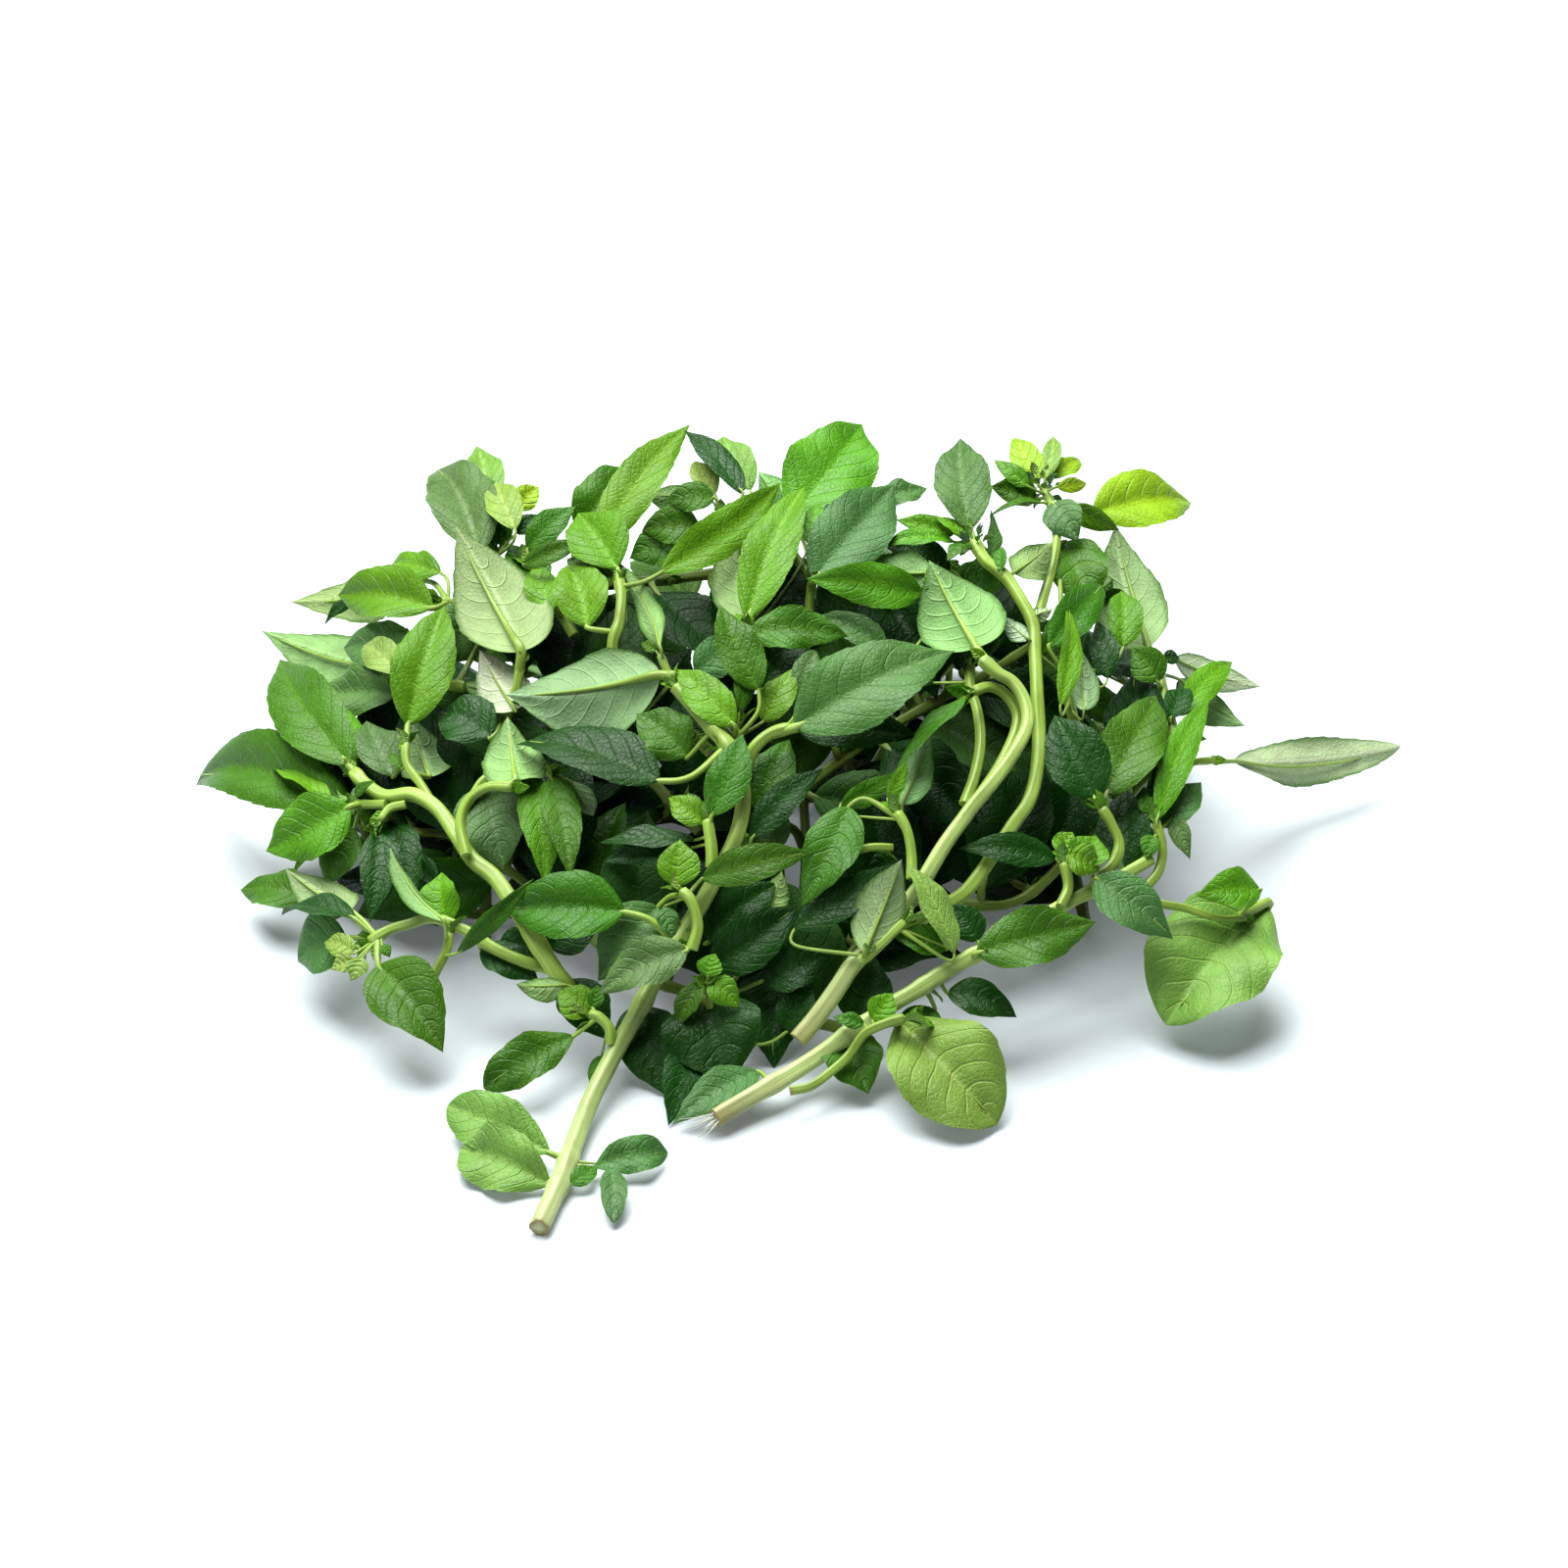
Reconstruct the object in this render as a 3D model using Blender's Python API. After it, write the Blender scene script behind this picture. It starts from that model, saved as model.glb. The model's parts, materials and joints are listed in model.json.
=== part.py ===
"""A bunch of cut basil lying on a table: stems, side shoots and flowering tips, in metres, +Z up.

Places are chosen by hand, in millimetres, on a slanted drawing board: a runs across it, b runs up it,
and d is how far behind the heap's front surface a point lies, along the line from the eye to the board.
Every branch is one stalk with the leaves that grow on it, and is one solid. A branch and each of its
leaves is moved in depth, or turned about its own length, until it is clear of all that is already there.
"""

import math
import random

import bmesh
import bpy
import numpy as np
from mathutils import Vector
from mathutils.bvhtree import BVHTree

MM = 0.001
BUNCH = "basil_bunch"

# The drawing board: it leans back from the eye by BOARD_TILT, and the eye looks straight at it.
BOARD_TILT = math.radians(35)
EYE_DISTANCE = 944.0
BOARD_UP = np.array([0.0, math.sin(BOARD_TILT), math.cos(BOARD_TILT)])
EYE = EYE_DISTANCE * np.array([0.0, -math.cos(BOARD_TILT), math.sin(BOARD_TILT)])
UP = np.array([0.0, 0.0, 1.0])

# The heap's surface: its height for each b on the middle line, and the half width where it is down.
HEAP_B = (-80, -50, -35, -20, 0, 25, 50, 75, 100, 115, 130)
HEAP_Z = (2, 4, 8, 18, 32, 48, 62, 75, 86, 92, 97)
HEAP_HALF_WIDTH = 160.0
FLOOR_GAP = 0.9

# A leaf: half thickness over the midrib, its fold and arch, and the powers that shape its outline. A leaf
# narrower than BUDLIKE may grow into the other leaves of its own branch.
LEAF_HALF_THICK = 0.45
LEAF_FOLD = math.radians(20)
LEAF_ARCH = 0.08
LEAF_BASE_POWER = 0.78
LEAF_TIP_POWER = 1.15
BLUNT_POWERS = (0.86, 0.7)
PETIOLE_RADIUS = 0.75
BLADE_STATIONS = ((0.33,), (0.22, 0.6), (0.15, 0.42, 0.75))
SHORT_BLADE = 20.0
LONG_BLADE = 38.0
LONG_PETIOLE = 10.0
CLEARANCE = 0.55
STALK_STATION = 9
BUDLIKE = 8.0

# What shows of a leaf: its top, from lime to grey, or its underside, pale or silver.
LIME, YOUNG, BRIGHT, MID, DARK, GREY = "lime", "young", "bright", "mid", "dark", "grey"
PALE, SILVER = "pale", "silver"
UNDERSIDES = (PALE, SILVER)

# The plain solids: a stalk's section is square at 0 and gains two sides for each step of resolution.
STALK_BEVEL_RESOLUTION = 0
WELD = 0.00001


def heap_height(a, b):
    """Height of the heap's surface at a board place: the middle line's height, rounded down to the sides."""
    side = math.sqrt(max(0.0, 1.0 - (a / HEAP_HALF_WIDTH) ** 2))
    return float(np.interp(b, HEAP_B, HEAP_Z)) * side


def place(a, b, d=0.0, gap=FLOOR_GAP):
    """The point on the sight line through board place (a, b), d behind the heap, above the table."""
    board = np.array([a, 0.0, 0.0]) + b * BOARD_UP
    ray = (board - EYE) / np.linalg.norm(board - EYE)
    z = max(heap_height(a, b), gap)
    point = EYE + ray * (z - EYE[2]) / ray[2] + d * ray
    if point[2] < gap:
        point = point + ray * (gap - point[2]) / ray[2]
    return point


def unit(vector):
    """The vector at length one."""
    return vector / max(np.linalg.norm(vector), 1e-9)


def smooth_path(points, step):
    """A Catmull-Rom curve through the points, read off at equal steps along its length."""
    p = np.array(points, float)
    p = np.vstack([2 * p[0] - p[1], p, 2 * p[-1] - p[-2]])
    t = np.linspace(0, 1, 12, endpoint=False)[:, None]
    rows = []
    for p0, p1, p2, p3 in zip(p[:-3], p[1:-2], p[2:-1], p[3:]):
        bend = 2 * p0 - 5 * p1 + 4 * p2 - p3
        rows.append(0.5 * (2 * p1 + (p2 - p0) * t + bend * t**2 + (3 * p1 - p0 - 3 * p2 + p3) * t**3))
    curve = np.vstack(rows + [p[-2][None]])
    length = np.concatenate([[0], np.cumsum(np.linalg.norm(np.diff(curve, axis=0), axis=1))])
    count = max(2, int(round(length[-1] / step)) + 1)
    at = np.linspace(0, length[-1], count)
    return np.column_stack([np.interp(at, length, curve[:, i]) for i in range(3)])


def tube(path, radii, sides=6):
    """Points and faces of a closed tube: rings of `sides` points across the path, with flat ends."""
    path = np.asarray(path, float)
    along = np.gradient(path, axis=0)
    along /= np.linalg.norm(along, axis=1)[:, None]
    across = np.cross(along, UP + 0.01)
    across /= np.linalg.norm(across, axis=1)[:, None]
    over = np.cross(across, along)
    turn = np.linspace(0, 2 * math.pi, sides, endpoint=False)[None, :, None]
    ring = across[:, None] * np.cos(turn) + over[:, None] * np.sin(turn)
    points = (path[:, None] + ring * np.asarray(radii, float)[:, None, None]).reshape(-1, 3)
    return points, ring_faces(len(path), sides)


def ring_faces(rings, sides):
    """Faces that join rings of points into a closed tube, end faces included."""
    faces = [list(range(sides)), list(range((rings - 1) * sides, rings * sides))[::-1]]
    for i in range(rings - 1):
        for j in range(sides):
            k = (j + 1) % sides
            faces.append([i * sides + j, (i + 1) * sides + j, (i + 1) * sides + k, i * sides + k])
    return faces


def leaf_shape(stalk_point, base, tip, width, face, under, blunt=False):
    """What fixes one leaf: its petiole's start, its blade's ends and width, and the way its top faces."""
    chord = tip - base
    face = unit(face - unit(chord) * np.dot(face, unit(chord)))
    top = -face if under else face
    length = np.linalg.norm(chord)
    lead = base - unit(chord) * min(0.45 * np.linalg.norm(base - stalk_point), 0.4 * length)
    powers = BLUNT_POWERS if blunt else (LEAF_BASE_POWER, LEAF_TIP_POWER)
    return dict(start=stalk_point, lead=lead, base=base, chord=chord, length=length, width=width, top=top,
                powers=powers)


def leaf_midrib(leaf, u):
    """Points on the midrib at shares u of the blade: the chord from base to tip, bowed towards the top."""
    u = np.asarray(u, float)[:, None]
    bow = leaf["length"] * LEAF_ARCH * np.sin(math.pi * u)
    return leaf["base"] + u * leaf["chord"] + bow * leaf["top"]


def leaf_half_width(leaf, u):
    """Half the blade's width at shares u: u^p (1 - u)^q, scaled to the leaf's width at its widest."""
    p, q = leaf["powers"]
    widest = p / (p + q)
    peak = widest**p * (1 - widest) ** q
    u = np.asarray(u, float)
    return 0.5 * leaf["width"] * u**p * (1 - u) ** q / peak


def blade_stations(leaf):
    """Where a leaf's plain solid has its rings across the blade: more of them on a longer blade."""
    return BLADE_STATIONS[int(leaf["length"] > SHORT_BLADE) + int(leaf["length"] > LONG_BLADE)]


def leaf_solid(leaf, spread=0.0, swell=0.0):
    """Points and faces of a leaf's plain solid: lens-shaped rings of four points, then a tip."""
    start, lead, base = leaf["start"], leaf["lead"], leaf["base"]
    stalk = [start, base]
    if np.linalg.norm(base - start) > LONG_PETIOLE:
        stalk.insert(1, 0.25 * start + 0.5 * lead + 0.25 * base)
    stations = blade_stations(leaf)
    blade = leaf_midrib(leaf, stations)
    spine = np.vstack([*stalk, blade])
    tip = leaf_midrib(leaf, [1.0])[0]
    along = np.gradient(np.vstack([spine, tip]), axis=0)[:-1]
    across = np.cross(leaf["top"], along)
    across /= np.linalg.norm(across, axis=1)[:, None]
    over = np.cross(along, across)
    over /= np.linalg.norm(over, axis=1)[:, None]
    half = np.concatenate([[PETIOLE_RADIUS] * len(stalk), leaf_half_width(leaf, stations)]) + spread
    thick = np.array([PETIOLE_RADIUS] * len(stalk) + [LEAF_HALF_THICK] * len(stations)) + swell
    fold = np.array([0.0] * len(stalk) + [LEAF_FOLD] * len(stations))
    lift = (half * np.sin(fold))[:, None] * over
    side = (half * np.cos(fold))[:, None] * across
    deep = thick[:, None] * over
    rings = np.stack([spine - side + lift, spine + deep, spine + side + lift, spine - deep], axis=1)
    floor = np.array([0.5, 1.0, 0.5, 0.0]) * LEAF_HALF_THICK * 2
    rings[:, :, 2] = np.maximum(rings[:, :, 2], floor)
    tip = np.array([tip[0], tip[1], max(tip[2], LEAF_HALF_THICK)])
    count = len(spine)
    faces = ring_faces(count, 4)
    faces = [face[::-1] for face in faces if face != faces[1]]
    last = 4 * (count - 1)
    faces += [[last + (j + 1) % 4, 4 * count, last + j][::-1] for j in range(4)]
    return np.vstack([rings.reshape(-1, 3), tip]), faces


class Heap:
    """What is placed so far, as search trees with their boxes, to keep every new shape clear of it."""

    def __init__(self):
        self.items = []

    def add(self, owner, points, faces):
        """Adds a shape that later shapes stay clear of."""
        tree = BVHTree.FromPolygons(points.tolist(), faces)
        self.items.append((owner, points.min(0), points.max(0), tree))

    def is_clear(self, points, faces, skip=()):
        """Whether the shape crosses nothing placed so far, apart from the owners in skip."""
        low, high = points.min(0), points.max(0)
        tree = None
        for owner, item_low, item_high, item_tree in self.items:
            if owner in skip or (low > item_high).any() or (high < item_low).any():
                continue
            tree = tree or BVHTree.FromPolygons(points.tolist(), faces)
            if tree.overlap(item_tree):
                return False
        return True


def search_order(*steps):
    """Every mix of the given steps, each step a dict of value to cost, with the cheapest mix first."""
    mixes = [((), 0.0)]
    for step in steps:
        mixes = [(values + (value,), cost + step[value]) for values, cost in mixes for value in step]
    return [values for values, cost in sorted(mixes, key=lambda mix: mix[1])]


DEPTH_STEPS = {0: 0, 3: 1, 6: 2, -3: 2.2, 10: 3, -6: 4, 15: 4.5, 21: 6, -10: 7}
ROLL_STEPS = {0: 0, 14: 1.2, -14: 1.3, 28: 3, -28: 3.1, 42: 5}
LEAN_STEPS = {0: 0, 6: 1.4, -6: 1.5, 12: 3.5, -12: 3.6}
LEAF_POSES = search_order(DEPTH_STEPS, ROLL_STEPS, LEAN_STEPS)[:110]
STALK_SHIFTS = {0: 0, 2: 1, -2: 1.1, 4: 2, -4: 2.1, 8: 3, 12: 4, -8: 4.5}
STALK_TRIMS = {0: 0, 2: 0.2, 4: 0.5, 7: 1, 11: 2}
STALK_POSES = search_order(STALK_SHIFTS, STALK_TRIMS)


def turned(vector, axis, degrees):
    """The vector turned about an axis of length one."""
    angle = math.radians(degrees)
    flat = vector * math.cos(angle) + np.cross(axis, vector) * math.sin(angle)
    return flat + axis * np.dot(axis, vector) * (1 - math.cos(angle))


def board_poses(row):
    """The poses that a leaf on the board may take: base, tip and the way that it faces, likeliest first."""
    base_a, base_b, tip_a, tip_b, width, depth, look, *more = row
    roll, lean = (more + [0, 0])[:2]
    for step, more_roll, more_lean in LEAF_POSES:
        base = place(base_a, base_b, depth + step)
        tip = place(tip_a, tip_b, depth + lean + step + more_lean)
        middle = 0.5 * (base + tip)
        facing = unit(0.75 * unit(EYE - middle) + 0.45 * UP)
        yield base, tip, turned(facing, unit(tip - base), roll + more_roll)


def within_outline(points):
    """Whether the points, seen along the sight lines, all fall inside the outline kept for inner leaves."""
    ray = points - EYE
    seen = EYE + ray * (np.dot(EYE, EYE) / -(ray @ EYE))[:, None]
    a, b = seen[:, :1], seen @ BOARD_UP[:, None]
    start = np.array(OUTLINE, float)
    end = np.roll(start, -1, axis=0)
    spans = (start[:, 1] > b) != (end[:, 1] > b)
    rise = np.where(start[:, 1] == end[:, 1], 1.0, end[:, 1] - start[:, 1])
    crossing = start[:, 0] + (b - start[:, 1]) * (end[:, 0] - start[:, 0]) / rise
    return bool(((spans & (a < crossing)).sum(1) % 2 == 1).all())


def grow_leaf(heap, name, stalk, radius, poses, width, look, inner=False, blunt=False):
    """The first pose of a leaf that is clear of the heap, as a leaf, or None where every pose is taken. An
    inner leaf also keeps inside the heap's outline."""
    for base, tip, face in poses:
        nearest = np.argmin(np.linalg.norm(stalk - base, axis=1))
        start = stalk[min(max(nearest, 2), len(stalk) - 3)]
        leaf = leaf_shape(start, base, tip, width, face, look in UNDERSIDES, blunt)
        if leaf_midrib(leaf, [0.0, 0.5, 1.0])[:, 2].min() < -1.0:
            continue
        if inner and not within_outline(leaf_solid(leaf)[0]):
            continue
        reach = np.linalg.norm(leaf["lead"] - start)
        off = min(0.8, (radius + 1.3) / max(reach, 1e-6))
        guard = dict(leaf, start=start + (leaf["lead"] - start) * off)
        points, faces = leaf_solid(guard, CLEARANCE, CLEARANCE)
        if heap.is_clear(points, faces, skip=(name, name + ":leaf") if width < BUDLIKE else (name,)):
            heap.add(name + ":leaf", *leaf_solid(guard))
            leaf["look"] = look
            return leaf
    return None


def fit_stalk(heap, name, choices, radii):
    """A stalk through the first choice of points and trimmed start that is clear of the heap."""
    for points, trim in choices:
        path = smooth_path(points, 1.0)
        thick = np.linspace(radii[0], radii[1], len(path))
        path[:, 2] = np.maximum(path[:, 2], thick)
        if trim > 0.4 * len(path):
            continue
        whole, path, thick = path, path[trim:], thick[trim:]
        keep = sparse(len(path))
        if heap.is_clear(*tube(path[keep], thick[keep] + CLEARANCE)):
            heap.add(name, *tube(path[keep], thick[keep]))
            return whole, path, thick
    return None


def sparse(count, most=5):
    """Every few stations of a path, its two ends included."""
    return np.unique(np.round(np.linspace(0, count - 1, max(3, (count - 1) // most + 1))).astype(int))


def chords(path):
    """The path's points moved onto the straight lines between the stations that its plain solid keeps."""
    keep = sparse(len(path), STALK_STATION)
    return np.column_stack([np.interp(np.arange(len(path)), keep, path[keep, i]) for i in range(3)])


def grow_branch(heap, name, branch, inner=False):
    """One branch of the plan: its stalk, then each leaf that finds room."""
    radii = branch["radii"]
    routes = ([place(a, b, d + step, radii[0]) for a, b, d in branch["stalk"]] for step, trim in STALK_POSES)
    grown = fit_stalk(heap, name, zip(routes, (trim for step, trim in STALK_POSES)), radii)
    if grown is None:
        return None
    whole, path, thick = grown
    leaves = []
    for row in branch["leaves"]:
        blunt = len(row) > 9
        leaf = grow_leaf(heap, name, chords(path), radii[0], board_poses(row), row[4], row[6], inner, blunt)
        if leaf is not None:
            leaves.append(leaf)
    return dict(name=name, whole=whole, path=path, thick=thick, leaves=leaves)

# The plan. Stalk places are (a, b, d), radii are at the start and the end of the stalk. A leaf's row is
# base a, base b, tip a, tip b, width, d, what shows, then how far it is rolled, how far its tip leans, and a
# last value where its tip is blunt.
PLAN = {
    "stem_front": dict(radii=(2.3, 1.7), stalk=[
        (-65, -77, 0), (-60, -66, 0), (-57, -58, 0), (-52, -45, 0), (-46, -33, 0), (-41, -24, 0),
        (-35, -13, 1), (-29, -3, 1), (-24, 5, 1), (-19, 14, 1), (-15, 22, 0), (-13, 30, 0),
        (-13.5, 38, 0), (-17, 46, 0), (-24, 54, -1), (-30, 61, -2)], leaves=[
        (-62, -58, -88, -46, 14, -2, YOUNG, 0, 0, 1), (-62, -66, -85, -57, 15, 0, YOUNG, 0, 0, 1),
        (-51, -61.5, -32, -57.5, 9, 0, GREY, 0, 0, 1), (-47, -61, -46, -75.5, 6, 0, GREY, 0, 0, 1),
        (-57, -66, -50, -61, 5, 0, MID), (-27, -6, -50, -17.5, 12, -6, GREY),
        (-43, 3.5, -74, 4.5, 17, -1, MID),
        (-34, 37, -71, 47.5, 17, 0, DARK, 20), (-27, 43, -40, 54, 13, 4, MID),
        (-39, -20, -33, -43, 15, 8, DARK)]),
    "stem_right": dict(radii=(2.4, 1.6), stalk=[
        (-20, -49, 0), (-10, -43, 0), (-3, -39, 0), (5, -34, 0), (12, -29, 0), (18, -25, 0),
        (25, -20, 0), (31, -16.5, 0), (38, -12, 0), (45, -8, 0), (52, -5, 0), (60, 0, 0),
        (68, 5, 0), (76, 9, 0), (84, 13, 0), (91, 17, 0)], leaves=[
        (46.5, -7, 77, 1, 14, -5, MID), (47, -4, 40, 5.5, 8, 0, DARK), (39, -17, 57, -23, 9, 1, DARK),
        (36, -21, 27, -36, 11, 4, MID), (13, -28, 19, -43, 14, 4, MID), (16, -25, 21, -8, 13, 8, DARK),
        (76.5, 12.5, 97, -3, 13, -5, GREY), (-9, -37, -31, -50.5, 10, 2, GREY, 10)]),
    "stem_middle": dict(radii=(2.4, 1.4), stalk=[
        (1, -29, 5), (6, -23, 5), (11, -16, 4), (15, -10, 4), (20, -5, 4), (26, 2, 3), (32, 10, 1),
        (38, 20, 0), (43, 27, 0), (46, 31, -1), (51, 37, -3), (56, 44, -4), (59.5, 51, -4),
        (59, 57, -4), (56, 62, -4), (52, 64.5, -4), (48, 68, -4)], leaves=[
        (46.5, 71, 34.5, 93, 21, -2, PALE)]),
    "stem_arch_inner": dict(radii=(1.5, 1.2), stalk=[
        (47, 32.5, 0), (52, 40, 0), (56, 48, 0), (57, 54, 0), (54, 59, -1), (50, 61, -2), (46, 60, -3)],
        leaves=[(44, 58.5, 26, 40, 6, -3, MID, 30)]),
    "stem_thin": dict(radii=(1.4, 1.1), stalk=[
        (43.5, 31, 3), (46, 38, 4), (47.5, 46, 5), (47, 54, 6), (45, 61, 8), (45, 66, 9)],
        leaves=[(36, 62, 25, 70, 8, 9, DARK), (45, 68, 52, 76, 6, 7, MID)]),
    "stem_left": dict(radii=(2.4, 1.6), stalk=[
        (-56, -19, 3), (-60, -13, 0), (-65, -5, 0), (-70, 3, 0), (-76, 12, 0), (-82, 17, 0),
        (-86, 23, 0), (-91, 30, 0), (-97, 33.5, 0), (-104, 33, 0), (-109, 36, 0), (-112, 39, 0)],
        leaves=[(-113.5, 41, -131, 68, 17, 0, MID, -12), (-113, 41, -118, 58, 8, 4, BRIGHT, 30),
                (-58, -14, -47, -29, 12, 6, DARK), (-62, -6, -50, 4, 12, 8, DARK),
                (-65, -4, -77, -9, 10, 8, DARK)]),
    "stem_low_left": dict(radii=(1.7, 1.2), stalk=[
        (-62, -11, 6), (-69, -9, 4), (-76, -6, 3), (-84, -1, 2), (-92, 2, 0), (-98, 0.5, 0), (-103, -1, 0),
        (-108, -4, 0)], leaves=[
        (-113, 4, -130, 15, 12, 0, PALE, 10), (-124, 7, -141, 9, 12, 4, MID, 10),
        (-112, 2, -131, 4, 10, 3, DARK, 35), (-114, -3, -127, -9, 15, 4, GREY),
        (-106, -10, -89.5, -32, 17, -2, MID), (-112, -7, -120, -4, 6, -3, YOUNG),
        (-112, -9, -118, -11, 5, -3, YOUNG), (-110, -8, -113, -14, 5, -4, YOUNG),
        (-105, -5, -103, -8, 3, -2, MID), (-80, -6, -65, -14, 9, 6, DARK)]),
    "stem_flowering": dict(radii=(1.9, 1.4), stalk=[
        (28, -1, 6), (36, 4, 5), (43, 8, 4), (48, 14, 4), (52, 20, 4), (56, 26, 3), (60, 32, 2),
        (62, 40, 4), (62.5, 50, 5), (62, 60, 3), (61.5, 70, 2), (61, 77, 1), (58, 83, 0),
        (54, 89, 0), (49, 93, 0), (46, 98, 0)], leaves=[
        (45, 101, 42.5, 124, 14, -1, GREY), (44, 99, 36, 104.5, 6, 1, BRIGHT, 30),
        (46, 98, 39, 93, 5, 2, MID, 30), (50, 94, 50, 106, 5, 3, GREY, 40),
        (53, 90, 53, 97, 4, -2, MID, -30), (41, 98, 22, 97, 6, 4, BRIGHT, 25),
        (41, 100, 26, 103.5, 6, 6, BRIGHT), (56, 90, 66, 98, 10, 1, PALE),
        (60, 73, 53, 79, 5, 0, SILVER), (61, 79, 66, 81, 4, -1, SILVER, 20)]),
    "stem_flower_tip": dict(radii=(1.3, 1.0), stalk=[
        (62, 78, 9), (64, 85, 9), (66, 92, 9), (67, 99, 8), (66, 106, 8), (63.5, 112, 8)], leaves=[
        (62, 113, 56, 125, 8, 7, LIME), (66, 114, 73, 119, 6, 7, LIME),
        (64, 114, 66, 125, 5, 4, YOUNG), (60, 112, 51, 119, 5, 4, BRIGHT),
        (67, 112, 75, 113, 4, 4, LIME, 20),
        (62, 109, 50, 112, 8, 9, MID), (63, 108, 50, 104.5, 4, 7, MID, 40),
        (66, 108, 72.5, 98, 10, 4, GREY), (70, 107, 83, 101, 6, 6, BRIGHT, 30),
        (76, 105, 102, 108.5, 17, 7, LIME)]),
    "stem_far_right": dict(radii=(1.6, 1.2), stalk=[
        (99, 30, 14), (98, 38, 10), (97, 45, 9), (96, 52, 8), (94, 60, 8), (93, 66, 8)], leaves=[
        (93, 62, 86, 71, 9, 4, MID), (94, 68, 98.5, 68, 4, 5, DARK), (90.5, 71, 82, 101.5, 18, 8, PALE),
        (96, 53, 101, 61, 7, 4, DARK), (99.5, 54, 112, 67.5, 8, 3, BRIGHT),
        (97, 68, 119, 61, 9, 16, SILVER), (98, 63, 115, 51, 9, 12, PALE)]),
    "stem_back_left": dict(radii=(1.7, 1.2), stalk=[
        (-26, 34, 44), (-38, 50, 26), (-46, 68, 8), (-44.5, 78, 4), (-44, 84, 3), (-44.5, 88, 3)],
        leaves=[(-34, 90, -3, 113.5, 11, 0, BRIGHT, 10), (-45, 91, -55, 105, 15, 2, BRIGHT),
                (-46, 88, -58, 94, 8, 5, GREY, 20), (-43, 89, -33, 103, 12, 11, MID),
                (-52.5, 76, -58, 92.5, 13.5, 2, BRIGHT)]),
    "shoot_left_tip": dict(radii=(1.3, 0.9), stalk=[(-104, 31, 1), (-108, 31, 1), (-112, 31, 1)], leaves=[
        (-114.5, 29, -155, 38.5, 19, 6, MID), (-118, 31.5, -133, 40, 7, 2, BRIGHT, 30),
        (-113, 30.5, -134.5, 19, 16, 0, BRIGHT), (-112, 25, -119, 10, 10, 6, MID),
        (-112, 33, -107, 37, 3, 0, MID)]),
    "shoot_left_upright": dict(radii=(1.2, 0.9), stalk=[(-92, 31, 2), (-95, 36, 1), (-98.5, 41, -1),
        (-99, 46, -2)], leaves=[
        (-98.5, 51, -89, 82, 15, -2, BRIGHT), (-93, 38, -98, 53, 13, 7, PALE),
        (-102, 38, -109, 52, 11, 8, GREY), (-100, 40, -103, 44, 3, 1, MID)]),
    "shoot_left_hanging": dict(radii=(1.1, 0.8), stalk=[(-99, 31, 4), (-103, 30, 3), (-105.5, 27, 2)],
        leaves=[
        (-106, 24, -108, 1, 9, 2, DARK), (-103, 27, -97, 4, 12, 8, DARK), (-107, 22, -115, 8, 8, 6, MID)]),
    "shoot_low_left_upright": dict(radii=(1.3, 1.0), stalk=[(-94, -17, 0), (-91, -11, 0), (-88.5, -6, 0),
        (-88, -2, 0)], leaves=[
        (-89, 1, -103, 20, 9, -1, PALE, 45), (-88, 0, -90, 14, 10, 2, BRIGHT, -20),
        (-86, -7, -66, 12, 5, -4, MID, 40), (-91, 10, -102, 18, 7, 6, DARK)]),
    "leaf_left_arched": dict(radii=(1.5, 1.0), stalk=[(-83.5, 18, 0), (-85, 26, -1), (-83, 32, -3),
        (-78, 35.5, -4), (-72, 35.5, -5)], leaves=[(-71, 37, -73, 53, 15, -5, PALE)]),
    "shoot_left_inner": dict(radii=(1.2, 0.9), stalk=[(-84, 30, 8), (-78, 38, 8), (-70, 41, 7),
        (-63, 40, 6)],
        leaves=[
        (-79, 35.5, -74, 14.5, 19, 3, GREY), (-67, 38, -63.5, 10, 10, 2, BRIGHT),
        (-62, 38, -57, 12, 9, 5, MID), (-60, 38, -58, 23, 5, 8, DARK), (-57, 37, -51, 28, 6, 8, PALE)]),
    "shoot_far_left": dict(radii=(1.3, 0.9), stalk=[(-84, 61, 10), (-92, 62, 7), (-100, 64, 4)], leaves=[
        (-101, 64, -110, 72, 9, 0, YOUNG), (-104, 66, -135.5, 75, 18, 9, PALE),
        (-101, 59, -122, 58, 14, 14, GREY), (-96, 70, -115, 71, 13, 10, GREY),
        (-78, 80, -91.5, 67, 15, 3, GREY)]),
    "shoot_back_left": dict(radii=(1.2, 0.9), stalk=[(-80, 80, 14), (-86, 82, 9), (-90, 83, 5)], leaves=[
        (-92, 81, -116, 84, 15, 2, BRIGHT), (-98, 88, -127, 82, 15, 12, PALE),
        (-108, 84, -120, 77, 4, 8, DARK, 20), (-90, 90, -104, 92, 9, 8, BRIGHT),
        (-91, 89, -96, 98, 8, 9, BRIGHT)]),
    "shoot_top_left": dict(radii=(1.4, 0.9), stalk=[(-72, 80, 16), (-75, 90, 10), (-77, 97, 8)], leaves=[
        (-80, 95, -91.5, 118, 17, 0, GREY), (-73, 97, -88, 115, 14, 5, MID),
        (-79, 105, -81, 122, 10, 8, YOUNG), (-71, 101, -76, 114, 9, 4, YOUNG),
        (-71, 106, -65, 112, 7, 8, LIME), (-71, 100, -65.5, 105, 5, 1, DARK)]),
    "leaf_left_pale": dict(radii=(1.4, 1.0), stalk=[(-74, 52, 10), (-71, 60, 5), (-69.5, 67, 1)], leaves=[
        (-69.5, 70, -86, 101, 23, -2, PALE), (-71, 55, -80, 70, 13, 2, SILVER),
        (-77, 48, -91, 55, 14, 5, DARK), (-76, 60, -86, 62, 5, 8, PALE)]),
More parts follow.
